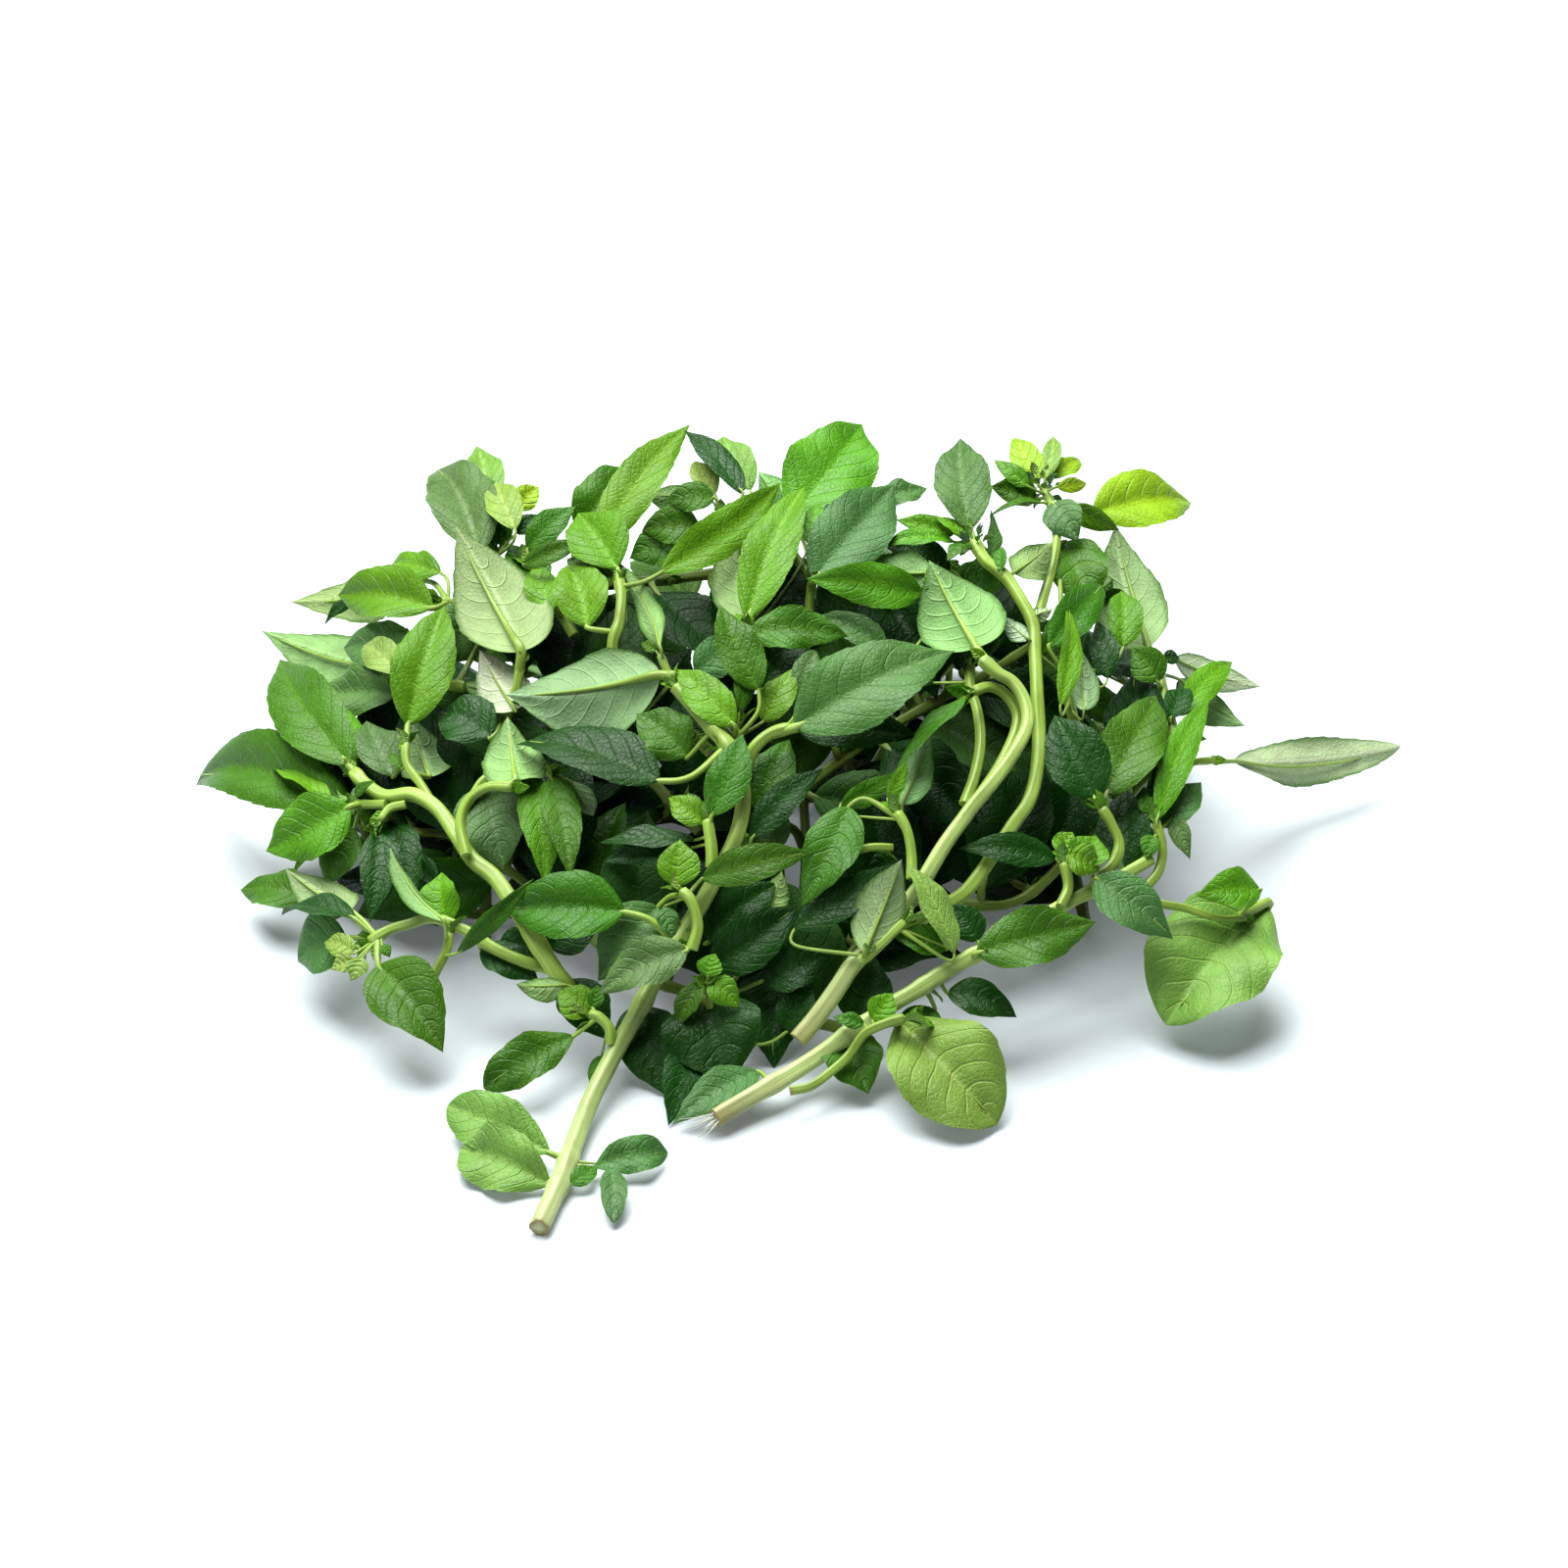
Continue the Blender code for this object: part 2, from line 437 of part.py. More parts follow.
    "leaf_pale_big": dict(radii=(1.4, 1.2), stalk=[(-24, 60, 5), (-28, 62.5, 1), (-32, 64, -2)], leaves=[
        (-34, 64, -73, 58.5, 23, -4, PALE), (-50, 50, -73, 53, 9, 5, DARK, 20)]),
    "shoot_top_mid_left": dict(radii=(1.4, 0.9), stalk=[(-56, 74, 20), (-62, 84, 14), (-67, 92, 8)], leaves=[
        (-68, 96, -55.5, 107, 8, 4, MID), (-69, 92, -53, 98.5, 6, 2, MID), (-65, 84, -72, 97, 11, 7, MID),
        (-62, 80, -66, 92, 9, 9, BRIGHT), (-66, 97, -58, 107, 6, 12, GREY)]),
    "leaf_top_long": dict(radii=(1.2, 1.0), stalk=[(-52, 82, 14), (-55, 92, 9), (-56, 98, 6)], leaves=[
        (-50, 96, -26.5, 127.5, 12, 4, BRIGHT), (-55, 100, -40, 118, 14, 10, MID)]),
    "leaf_folded": dict(radii=(1.2, 0.9), stalk=[(-29, 60, 2), (-32, 64.5, 0), (-34, 69, -2)], leaves=[
        (-34, 71, -46, 94, 8, -3, PALE, -50), (-35, 70, -39, 72, 3, 0, MID)]),
    "shoot_top_mid": dict(radii=(1.4, 0.9), stalk=[(-14, 84, 22), (-17, 94, 14), (-18, 104, 9)], leaves=[
        (-13, 110, -28, 126, 8, 2, DARK, 20), (-11, 111, -18, 125, 10, 6, YOUNG),
        (-20, 110, -25, 119, 7, 8, YOUNG), (-20, 109, -33, 108, 8, 4, MID),
        (-25, 110, -38, 110, 8, 10, PALE), (-24, 102, -39, 101, 10, 8, MID),
        (-28, 98, -42, 94, 11, 8, MID)]),
    "shoot_back_mid": dict(radii=(1.4, 1.0), stalk=[(-6, 57, 24), (-9, 69, 10), (-11.5, 76, 4)], leaves=[
        (-12, 78, 3, 113, 13, 3, BRIGHT), (-12.5, 77, -15, 107, 13, 2, PALE),
        (-9, 85, -4, 113, 10, 8, MID), (-12, 74, 14, 74, 11, 5, MID), (-8, 60, 2, 76, 14, 12, DARK),
        (-6, 80, 4, 94, 12, 14, DARK), (4, 97, 6, 108, 6, 7, BRIGHT)]),
    "shoot_top_right": dict(radii=(1.4, 0.9), stalk=[(4, 72, 20), (4, 82, 14), (5, 90, 9)], leaves=[
        (5, 88, 25.5, 112.5, 18, 5, GREY), (0, 104.5, 17.5, 128.5, 22, 6, BRIGHT),
        (0, 103, -9, 116, 13, 11, PALE), (21, 108, 34, 111.5, 8, 7, GREY), (9, 102, 14, 109, 7, 10, DARK)]),
    "shoot_curled_top": dict(radii=(1.3, 1.0), stalk=[(42, 76, 10), (39, 80, 6), (36, 84, 2)], leaves=[
        (33, 84.5, 3, 88.5, 11, 0, BRIGHT, -15), (36, 90, 16, 91, 11, 5, PALE),
        (28, 72.5, -6, 84.5, 8, -3, SILVER), (24, 70, 5, 79, 8, 3, GREY), (40, 88, 56, 88, 9, 6, MID),
        (40, 91, 23, 97, 8, 10, DARK)]),
    "leaf_centre": dict(radii=(1.7, 1.3), stalk=[(-12, 41, 0), (-10, 45.5, -2), (-6, 49, -3),
        (-1, 50.5, -4)],
        leaves=[
        (0, 50.5, 41, 70, 21, -5, GREY), (1, 50, 31, 49, 12, 4, DARK), (2, 58, 6, 71, 7, 5, GREY)]),
    "shoot_centre": dict(radii=(1.5, 0.9), stalk=[(-14, 42, 2), (-14.5, 46, 1), (-14.5, 50, 0)], leaves=[
        (-15, 51, -30, 66, 10, -2, BRIGHT), (-14, 54, -13, 72, 6, -1, MID, 35),
        (-8, 52, 0, 66, 8, 4, BRIGHT), (-9, 60, -19, 82, 11, 4, MID), (-25, 64, -12, 72, 10, 9, GREY),
        (-30, 65, -19, 86, 14, 11, GREY)]),
    "stub_broken": dict(radii=(1.6, 1.6), stalk=[(-21, 44, 3), (-27, 49.5, 1), (-35, 53.5, 1)], leaves=[
        (-34, 48, -40, 40, 7, 10, DARK)]),
    "shoot_front_small": dict(radii=(1.5, 1.1), stalk=[(-26, -6, -4), (-24.5, 0, -4), (-26, 6, -5),
        (-28.5, 9, -5)],
        leaves=[
        (-29.5, 10, -29, 22, 10, -5, BRIGHT), (-23.5, 12, 5, 19, 9, -5, MID, 10),
        (-34.5, 5, -50, -14, 15, -2, GREY), (-33, 5, -31, -3, 5, -1, GREY)]),
    "shoot_front_upper": dict(radii=(1.5, 1.1), stalk=[(-21, 15, -2), (-21, 20, -3), (-22, 27, -4)], leaves=[
        (-21, 28, -13, 49, 10, -5, MID), (-23, 26, -32, 33, 7, -3, BRIGHT), (-24, 27, -27, 34, 5, -1, MID),
        (-25, 22, -50, 21.5, 7, 1, DARK, 25), (-26, 20, -49, 16, 7, 3, DARK)]),
    "shoot_inner_mid": dict(radii=(1.4, 0.9), stalk=[(-8, 4, 12), (-11, 12, 8), (-12, 20, 6)], leaves=[
        (-11, 22, 7.5, 40, 8, 2, DARK), (-8, 28, -1, 48, 11, 6, MID), (-22, -4, -4, 11, 13, 4, DARK),
        (-3, 20, -10, 30, 9, 12, GREY), (-6, 4, -3, 14, 7, 6, PALE)]),
    "shoot_inner_right": dict(radii=(1.3, 1.0), stalk=[(30, 12, -1), (30, 18, -1), (29, 24, -2),
        (26.5, 29, -3)],
        leaves=[
        (14, 30.5, 2, 5, 13, -1, MID), (24, 32, 29, 42.5, 4, -4, BRIGHT, 20),
        (27.5, 31, 35, 49, 10, 0, PALE),
        (12, 31, 25.5, 39, 6, 1, MID, 30)]),
    "stalk_bowed": dict(radii=(1.1, 1.0), stalk=[(5, 6, 2), (8.5, 13, 0), (13, 18, -1), (19, 20, -1),
        (25, 20, 1)],
        leaves=[(26, 17, 19, 13, 6, 5, DARK)]),
    "shoot_right_front": dict(radii=(1.2, 1.0), stalk=[(17, -9, 0), (22, -5, -1), (28, 1, -1)], leaves=[
        (18, -7, 27.5, 17, 12, -4, PALE), (41, -7, 29, 16.5, 9, -4, YOUNG, 30),
        (39, -6, 25, -2.5, 7, -1, MID),
        (0, -1, 26, 16, 9, 2, DARK)]),
    "shoot_dark_front": dict(radii=(1.3, 0.9), stalk=[(-20, -34, 12), (-21, -24, 6),
        (-21.5, -17, 1)], leaves=[
        (-24, -18, -17, -41, 23, 5, DARK), (-22, -14, -14, -21, 7, -1, BRIGHT),
        (-23, -14, -30, -26, 6, 0, MID, 20),
        (-22, -13, -20, -7, 6, -2, BRIGHT), (-21, -11, 1, 5, 13, 2, DARK), (-8, -14, 8, -7, 11, 5, DARK),
        (-25, -30, -32, -51, 10, 3, DARK), (-2, -27, 5, -14, 9, 6, DARK),
        (-7, -11, -5, -36, 15, 9, DARK)]),
    "shoot_foot": dict(radii=(1.3, 1.0), stalk=[(-46.5, -30, -1), (-47, -26, -2), (-50, -23, -2),
        (-52, -22.5, -2)],
        leaves=[
        (-56, -28, -79, -41, 11, -1, MID, 0, 0, 1), (-52, -23, -60, -16, 9, -1, BRIGHT),
        (-51, -21, -50, -15, 4, -1, MID),
        (-58, -15, -71, -15, 6, 2, PALE), (-49, -33, -52, -41, 4, 0, MID, 30)]),
    "branch_right_foot": dict(radii=(1.2, 1.1), stalk=[(-1, -42, 0), (4, -41, 0), (9, -37.5, 0),
        (14, -33, 0),
        (18, -27.5, -1), (23, -25, -2), (28, -23.5, -3)], leaves=[
        (26.5, -24, 51.5, -50, 25, 1, YOUNG, 0, 0, 1), (20, -24, 25, -17, 7, -3, BRIGHT),
        (18, -25, 10, -23, 4, -1, MID)]),
    "shoot_round": dict(radii=(1.4, 1.1), stalk=[(68, 5, -3), (70, 10, -3), (69, 16, -4)], leaves=[
        (73, 15, 77, 23, 10, -4, BRIGHT), (70, 18, 78, 14, 8, -6, BRIGHT), (69, 18, 71, 24, 7, -3, BRIGHT),
        (67, 17, 42, 20, 8, -2, DARK), (68, 18.5, 56, 25.5, 8, 2, DARK), (69, 20, 66, 31, 9, 4, DARK),
        (71, 21, 76, 30, 8, 5, DARK), (66, 14, 52, 12, 9, 7, DARK)]),
    "shoot_pair_right": dict(radii=(1.5, 1.1), stalk=[(77, 12, 0), (81.5, 16, -1), (83, 21, -2),
        (81, 26, -3),
        (78.5, 30, -4)], leaves=[
        (77, 32, 66.5, 54, 15, -4, DARK), (79.5, 33, 92.5, 59.5, 15, -5, MID), (79, 34, 77, 40, 5, -1, MID),
        (84, 14, 85, 35, 13, 6, DARK)]),
    "shoot_far_right_low": dict(radii=(1.3, 1.0), stalk=[(89, 9, 0), (93, 14, -1), (94, 20, -2),
        (92.5, 26, -3)],
        leaves=[
        (92.5, 27, 106, 58, 8, -3, BRIGHT, 16), (92, 29, 96, 43, 8, 0, DARK), (94, 25, 104, 37, 8, 2, GREY),
        (92, 23, 90, 17, 5, -2, MID), (97, 28, 101, 17, 5, 1, GREY), (91, 28, 89, 34, 4, -1, MID)]),
    "leaf_curled_right": dict(radii=(1.3, 0.8), stalk=[(82, 9.5, 1), (92, 6, 0), (100, 4.5, 0), (108, 2, 0),
        (115, 2, 2)], leaves=[
        (121, 5, 95.5, -24, 29, 6, YOUNG, 0, 0, 1), (119, 9, 103, 8, 10, -6, BRIGHT)]),
    "leaf_far_right": dict(radii=(1.0, 0.8), stalk=[(98.5, 38, 5), (101.5, 41.5, 4),
        (107, 42.2, 3)], leaves=[
        (112, 42, 153, 44.5, 12, 12, SILVER, 0, -4, 1)]),
    "shoot_right_upper": dict(radii=(1.4, 0.9), stalk=[(72, 50, 14), (70, 58, 9), (69, 66, 6)], leaves=[
        (69, 98, 76, 80, 16, 6, MID), (65, 71, 79.5, 88, 10, 1, MID, 15), (84, 71, 83.5, 86, 9, 5, BRIGHT),
        (80, 63, 77, 78, 7, 4, DARK), (68, 56, 70, 83, 6, -3, BRIGHT, 30), (63, 69, 69.5, 82, 5, 0, MID, 30),
        (74, 55, 73, 70.5, 7, -3, PALE)]),
}

# Branches deep in the heap, seen only through the gaps: each runs between board places, well behind.
DEEP_STALKS = (
    ((12, -26, 12), (-14, -20, 14), (-40, -12, 14), (-62, 6, 20), (-88, 23, 22), (-114, 21, 12)),
    ((-24, 24, 30), (-44, 44, 26), (-76, 66, 22), (-98, 74, 16)),
    ((10, -12, 18), (30, 6, 24), (56, 6, 16), (76, 24, 20), (98, 46, 16)),
    ((-4, 30, 30), (20, 48, 28), (52, 66, 24), (78, 84, 18)),
    ((-72, 85, 24), (-36, 88, 22), (1, 92, 23), (38, 92, 20)))
# The outline, on the board, that leaves of the inside and the far side stay within.
OUTLINE = (
    (-126, -2), (-132, 28), (-130, 70), (-94, 94), (-86, 114), (-66, 108), (-58, 100), (-46, 112),
    (-32, 112), (-20, 118), (-8, 114), (18, 118), (26, 104), (36, 104), (46, 110), (56, 98), (80, 92),
    (91, 86), (91, 70), (100, 58), (99, 24), (90, 12), (70, 0), (52, -12), (40, -20), (16, -34), (-30, -44),
    (-46, -36), (-58, -22), (-76, -11), (-88, -2), (-104, 4))
DEEP_LEAF = 36.0
DEEP_WIDTH = 19.0
DEEP_PITCH = 13.0
DEEP_LAYER = 9
SPRAY_ANGLE = math.radians(58)

# The leaves that lie all but flat under the heap, in pairs along stalks that run from front to back.
BED_PLACES = ((-78, -10), (0, -34), (74, -4))
BED_PITCH = 26.0
BED_PAIRS = 5
BED_LEAF = 40.0
BED_WIDTH = 30.0
BED_HEIGHT = 3.0
BED_POSES = search_order({0: 0, 4: 1, 9: 2, 15: 3, 22: 4}, {0: 0, 12: 1, -12: 1.1, 24: 2.2, -24: 2.3},
                         {0: 0, 14: 1.2, -14: 1.3})

# The heap's far side, turned away from the board: an oval mound whose leaves hang outwards and down.
MOUND_CENTRE = np.array([0.0, 25.0, 0.0])
MOUND_REACH = np.array([128.0, 106.0, 88.0])
MOUND_SECTORS = (20, 55, 90, 125, 160)
MOUND_RISES = (64, 46, 30, 15, 3)
HANGING = 24.0
SWING = 16.0


def spray_rows(points, rng):
    """Rows of leaves in pairs along a stalk on the board, one to each side of it, in two layers by turns."""
    points = np.array(points, float)
    steps = np.linalg.norm(np.diff(points[:, :2], axis=0), axis=1)
    shares = np.concatenate([[0], np.cumsum(steps)]) / steps.sum()
    pairs = round(steps.sum() / DEEP_PITCH)
    rows = []
    for pair in range(pairs):
        share = (pair + 0.5) / pairs
        a, b, d = (np.interp(share, shares, points[:, i]) for i in range(3))
        ahead = [np.interp(share + 0.1, shares, points[:, i]) for i in range(2)]
        heading = math.atan2(ahead[1] - b, ahead[0] - a)
        for side in (-1, 1):
            angle = heading + side * SPRAY_ANGLE + rng.uniform(-0.35, 0.35)
            size = rng.uniform(0.8, 1.1)
            step = np.array([math.cos(angle), math.sin(angle)])
            base = np.array([a, b]) + 4 * step
            tip = base + DEEP_LEAF * size * step
            look = rng.choice((DARK, DARK, MID, GREY))
            depth = d - 4 + DEEP_LAYER * ((pair + (side > 0)) % 2)
            rows.append((*base, *tip, DEEP_WIDTH * size, depth, look, rng.uniform(-25, 25)))
    return rows


def bed_poses(base, tip):
    """The poses that a leaf of the bed may take: lifted, rolled and swung about its base."""
    for lift, roll, swing in BED_POSES:
        reach = turned(tip - base, UP, swing)
        yield base + lift * UP, base + reach + 0.7 * lift * UP, turned(UP, unit(reach), roll)


def grow_bed(heap, name, across, front, rng):
    """One branch of the bed: a stalk low on the table and its pairs of wide dark leaves."""
    length = BED_PITCH * BED_PAIRS
    bowed = across + rng.uniform(-5, 5)
    points = np.array([(across, front, BED_HEIGHT), (bowed, front + length / 2, BED_HEIGHT),
                       (across, front + length, BED_HEIGHT)])
    grown = fit_stalk(heap, name, ((points + lift * UP, trim) for lift, trim in BED_STALKS), (1.5, 1.0))
    if grown is None:
        return None
    whole, path, thick = grown
    leaves = []
    for number in range(2 * BED_PAIRS):
        side = 1 if number % 2 else -1
        base = np.array([across + 4 * side, front + BED_PITCH * (number // 2 + 0.4), path[:, 2].mean() + 0.5])
        tip = base + (side * BED_LEAF, rng.uniform(2, 14), -1.0)
        width = BED_WIDTH * rng.uniform(0.85, 1.1)
        leaf = grow_leaf(heap, name, chords(path), 1.5, bed_poses(base, tip), width, DARK, True)
        if leaf is not None:
            leaves.append(leaf)
    return dict(name=name, whole=whole, path=path, thick=thick, leaves=leaves)


BED_STALKS = search_order({0: 0, 3: 1, 6: 2, 10: 3, 15: 4, 22: 5}, {0: 0, 4: 0.5, 10: 1.5, 18: 3})


def mound_point(turn, rise, share=1.0):
    """A point of the mound at a turn and a rise in degrees, at a share of its reach from the centre."""
    turn, rise = math.radians(turn), math.radians(rise)
    out = np.array([math.cos(turn) * math.cos(rise), math.sin(turn) * math.cos(rise), math.sin(rise)])
    return MOUND_CENTRE + share * MOUND_REACH * out


def mound_poses(turn, rise, swing, rng):
    """The poses that a leaf on the heap's far side may take: it hangs outwards and to one side."""
    spread = rng.uniform(-5, 5)
    for more_rise, more_share, roll in MOUND_POSES:
        base = mound_point(turn + 0.25 * swing, rise + more_rise, 0.78 + more_share)
        tip = mound_point(turn + swing + spread, rise + more_rise - HANGING, 1.0 + more_share)
        tip[2] = max(tip[2], FLOOR_GAP)
        out = unit((0.5 * (base + tip) - MOUND_CENTRE) / MOUND_REACH)
        yield base, tip, turned(unit(out + 0.3 * UP), unit(tip - base), roll)


MOUND_POSES = search_order({0: 0, 6: 1, -6: 1.2, 12: 2.5}, {0: 0, -0.06: 0.8, 0.04: 1, -0.12: 2, -0.2: 3},
                           {0: 0, 16: 1.1, -16: 1.2, 32: 3, -32: 3.1})[:80]


def grow_far_side(heap, name, turn, rng):
    """One branch of the heap's far side: a stalk from deep inside to under its leaves, and the leaves."""
    points = [mound_point(turn, 30, 0.3), mound_point(turn, 36, 0.5), mound_point(turn, 34, 0.7)]
    radii = (1.6, 1.1)
    grown = fit_stalk(heap, name, ((np.array(points) + lift * UP, trim) for lift, trim in FAR_STALKS), radii)
    if grown is None:
        return None
    whole, path, thick = grown
    leaves = []
    for rise in MOUND_RISES:
        for swing in (-SWING, SWING):
            look = rng.choice((BRIGHT, MID, MID, DARK, GREY, PALE))
            width = rng.uniform(15, 20)
            poses = mound_poses(turn, rise, swing, rng)
            leaf = grow_leaf(heap, name, chords(path), radii[0], poses, width, look, True)
            if leaf is not None:
                leaves.append(leaf)
    return dict(name=name, whole=whole, path=path, thick=thick, leaves=leaves)


FAR_STALKS = search_order({0: 0, 4: 1, -4: 1.1, 8: 2, 12: 3, -8: 3.1, 18: 4}, {0: 0, 3: 0.5, 8: 1, 14: 2})


def grow_bunch():
    """Every branch of the bunch, front to back."""
    heap = Heap()
    grown = [grow_branch(heap, name, branch) for name, branch in PLAN.items()]
    rng = random.Random(11)
    for number, points in enumerate(DEEP_STALKS, 1):
        branch = dict(radii=(1.5, 1.0), stalk=points, leaves=spray_rows(points, rng))
        grown.append(grow_branch(heap, f"shoot_deep_{number}", branch, True))
    for number, (across, front) in enumerate(BED_PLACES, 1):
        grown.append(grow_bed(heap, f"shoot_bed_{number}", across, front, rng))
    for number, turn in enumerate(MOUND_SECTORS, 1):
        grown.append(grow_far_side(heap, f"shoot_back_{number}", turn, rng))
    return [branch for branch in grown if branch is not None]


def footprint_middle(branches):
    """The middle of the bunch's box, at the table's height."""
    shapes = [leaf_solid(leaf)[0] for branch in branches for leaf in branch["leaves"]]
    points = np.vstack(shapes + [branch["path"] for branch in branches])
    return 0.5 * (points.min(0) + points.max(0)) * (1, 1, 0)


def centred(branches, middle):
    """The branches moved along the table so that the middle of their box is over the origin."""
    for branch in branches:
        branch.update({key: branch[key] - middle for key in ("whole", "path")})
        for leaf in branch["leaves"]:
            leaf.update({key: leaf[key] - middle for key in ("start", "lead", "base")})
    return branches


# The plain solids' materials, as linear RGB and roughness.
MATERIALS = {
    "stem": ((0.42, 0.52, 0.16), 0.45), "leaf": ((0.07, 0.2, 0.03), 0.5),
    "leaf_young": ((0.25, 0.44, 0.04), 0.45), "leaf_pale": ((0.3, 0.43, 0.2), 0.55)}


def new_collection(name):
    """A collection under the scene's own."""
    collection = bpy.data.collections.new(name)
    bpy.context.scene.collection.children.link(collection)
    return collection


def material_name(branch):
    """What a branch's plain solid is shown as: a main stem, or the side of its first leaf that shows."""
    if branch["name"].startswith("stem_") or not branch["leaves"]:
        return "stem"
    look = branch["leaves"][0]["look"]
    return "leaf_young" if look in (LIME, YOUNG) else "leaf_pale" if look in UNDERSIDES else "leaf"


def plain_material(name):
    """The Principled material of this name, made the first time it is asked for."""
    material = bpy.data.materials.get(name) or bpy.data.materials.new(name)
    material.use_nodes = True
    shader = material.node_tree.nodes["Principled BSDF"]
    colour, roughness = MATERIALS[name]
    shader.inputs["Base Color"].default_value = (*colour, 1)
    shader.inputs["Roughness"].default_value = roughness
    shader.inputs["Metallic"].default_value = 0.0
    return material


def stalk_object(name, path, thick):
    """A stalk as a square-sided bevelled curve with filled caps, made a mesh whose caps are welded on."""
    curve = bpy.data.curves.new(name + "_route", "CURVE")
    curve.dimensions = "3D"
    curve.bevel_depth = MM
    curve.bevel_resolution = STALK_BEVEL_RESOLUTION
    curve.use_fill_caps = True
    keep = sparse(len(path), STALK_STATION)
    spline = curve.splines.new("POLY")
    spline.points.add(len(keep) - 1)
    for point, place_mm, radius in zip(spline.points, path[keep], thick[keep]):
        point.co = (*(place_mm * MM), 1)
        point.radius = radius
    guide = bpy.data.objects.new(name + "_route", curve)
    bpy.context.scene.collection.objects.link(guide)
    bpy.context.view_layer.update()
    mesh = bpy.data.meshes.new_from_object(guide.evaluated_get(bpy.context.evaluated_depsgraph_get()))
    bpy.data.objects.remove(guide)
    weld(mesh)
    return bpy.data.objects.new(name, mesh)


def weld(mesh):
    """Joins points that coincide, cuts the faces to triangles and turns every one outwards."""
    edit = bmesh.new()
    edit.from_mesh(mesh)
    bmesh.ops.remove_doubles(edit, verts=edit.verts, dist=WELD)
    bmesh.ops.triangulate(edit, faces=edit.faces)
    bmesh.ops.recalc_face_normals(edit, faces=edit.faces)
    edit.to_mesh(mesh)
    edit.free()


def leaf_object(name, leaf, collection):
    """A leaf's plain solid as an object, a loft of unlike sections."""
    points, faces = leaf_solid(leaf)
    mesh = bpy.data.meshes.new(name)
    mesh.from_pydata((points * MM).tolist(), [], faces)
    weld(mesh)
    piece = bpy.data.objects.new(name, mesh)
    piece.hide_render = True
    piece.display_type = "WIRE"
    collection.objects.link(piece)
    return piece


def build_branch(branch, parts, cutters):
    """One branch as one solid: its stalk and each of its leaves, joined by Boolean unions."""
    name = branch["name"]
    stalk = stalk_object(name, branch["path"], branch["thick"])
    parts.objects.link(stalk)
    for number, leaf in enumerate(branch["leaves"], 1):
        union = stalk.modifiers.new("leaf", "BOOLEAN")
        union.operation = "UNION"
        union.solver = "MANIFOLD"
        union.object = leaf_object(f"{name}_leaf_{number}", leaf, cutters)
    stalk.data.materials.append(plain_material(material_name(branch)))
    return stalk


def main():
    """Clears the scene, grows the bunch and builds each branch."""
    for item in list(bpy.data.objects):
        bpy.data.objects.remove(item)
    parts, cutters = new_collection(BUNCH), new_collection("cutters")
    branches = grow_bunch()
    for branch in centred(branches, footprint_middle(branches)):
        build_branch(branch, parts, cutters)


main()
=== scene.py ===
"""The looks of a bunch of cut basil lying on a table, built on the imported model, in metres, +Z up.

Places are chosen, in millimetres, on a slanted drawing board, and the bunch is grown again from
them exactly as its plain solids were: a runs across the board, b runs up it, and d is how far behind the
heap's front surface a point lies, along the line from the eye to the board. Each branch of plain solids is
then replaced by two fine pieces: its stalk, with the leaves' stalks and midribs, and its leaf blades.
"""
import json
import math
import random

import bpy
import numpy as np
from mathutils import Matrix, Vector
from mathutils.bvhtree import BVHTree


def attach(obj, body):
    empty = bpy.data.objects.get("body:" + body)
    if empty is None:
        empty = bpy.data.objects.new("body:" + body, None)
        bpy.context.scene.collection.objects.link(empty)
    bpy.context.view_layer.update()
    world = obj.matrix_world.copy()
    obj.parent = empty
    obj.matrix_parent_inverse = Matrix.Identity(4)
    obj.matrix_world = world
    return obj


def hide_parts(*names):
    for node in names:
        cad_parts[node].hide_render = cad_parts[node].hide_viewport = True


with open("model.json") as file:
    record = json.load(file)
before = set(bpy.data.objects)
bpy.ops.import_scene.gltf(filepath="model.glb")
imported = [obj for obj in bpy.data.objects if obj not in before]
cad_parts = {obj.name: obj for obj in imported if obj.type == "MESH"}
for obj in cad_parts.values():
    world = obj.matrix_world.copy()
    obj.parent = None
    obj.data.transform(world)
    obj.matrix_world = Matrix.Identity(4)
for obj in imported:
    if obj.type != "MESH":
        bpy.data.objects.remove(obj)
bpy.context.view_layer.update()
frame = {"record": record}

MM = 0.001

# The drawing board: it leans back from the eye by BOARD_TILT, and the eye looks straight at it.
BOARD_TILT = math.radians(35)
EYE_DISTANCE = 944.0
BOARD_UP = np.array([0.0, math.sin(BOARD_TILT), math.cos(BOARD_TILT)])
EYE = EYE_DISTANCE * np.array([0.0, -math.cos(BOARD_TILT), math.sin(BOARD_TILT)])
UP = np.array([0.0, 0.0, 1.0])

# The heap's surface: its height for each b on the middle line, and the half width where it is down.
HEAP_B = (-80, -50, -35, -20, 0, 25, 50, 75, 100, 115, 130)
HEAP_Z = (2, 4, 8, 18, 32, 48, 62, 75, 86, 92, 97)
HEAP_HALF_WIDTH = 160.0
FLOOR_GAP = 0.9

# A leaf: half thickness over the midrib, its fold and arch, and the powers that shape its outline. A leaf
# narrower than BUDLIKE may grow into the other leaves of its own branch.
LEAF_HALF_THICK = 0.45
LEAF_FOLD = math.radians(20)
LEAF_ARCH = 0.08
LEAF_BASE_POWER = 0.78
LEAF_TIP_POWER = 1.15
BLUNT_POWERS = (0.86, 0.7)
PETIOLE_RADIUS = 0.75
BLADE_STATIONS = ((0.33,), (0.22, 0.6), (0.15, 0.42, 0.75))
SHORT_BLADE = 20.0
LONG_BLADE = 38.0
LONG_PETIOLE = 10.0
CLEARANCE = 0.55
STALK_STATION = 9
BUDLIKE = 8.0

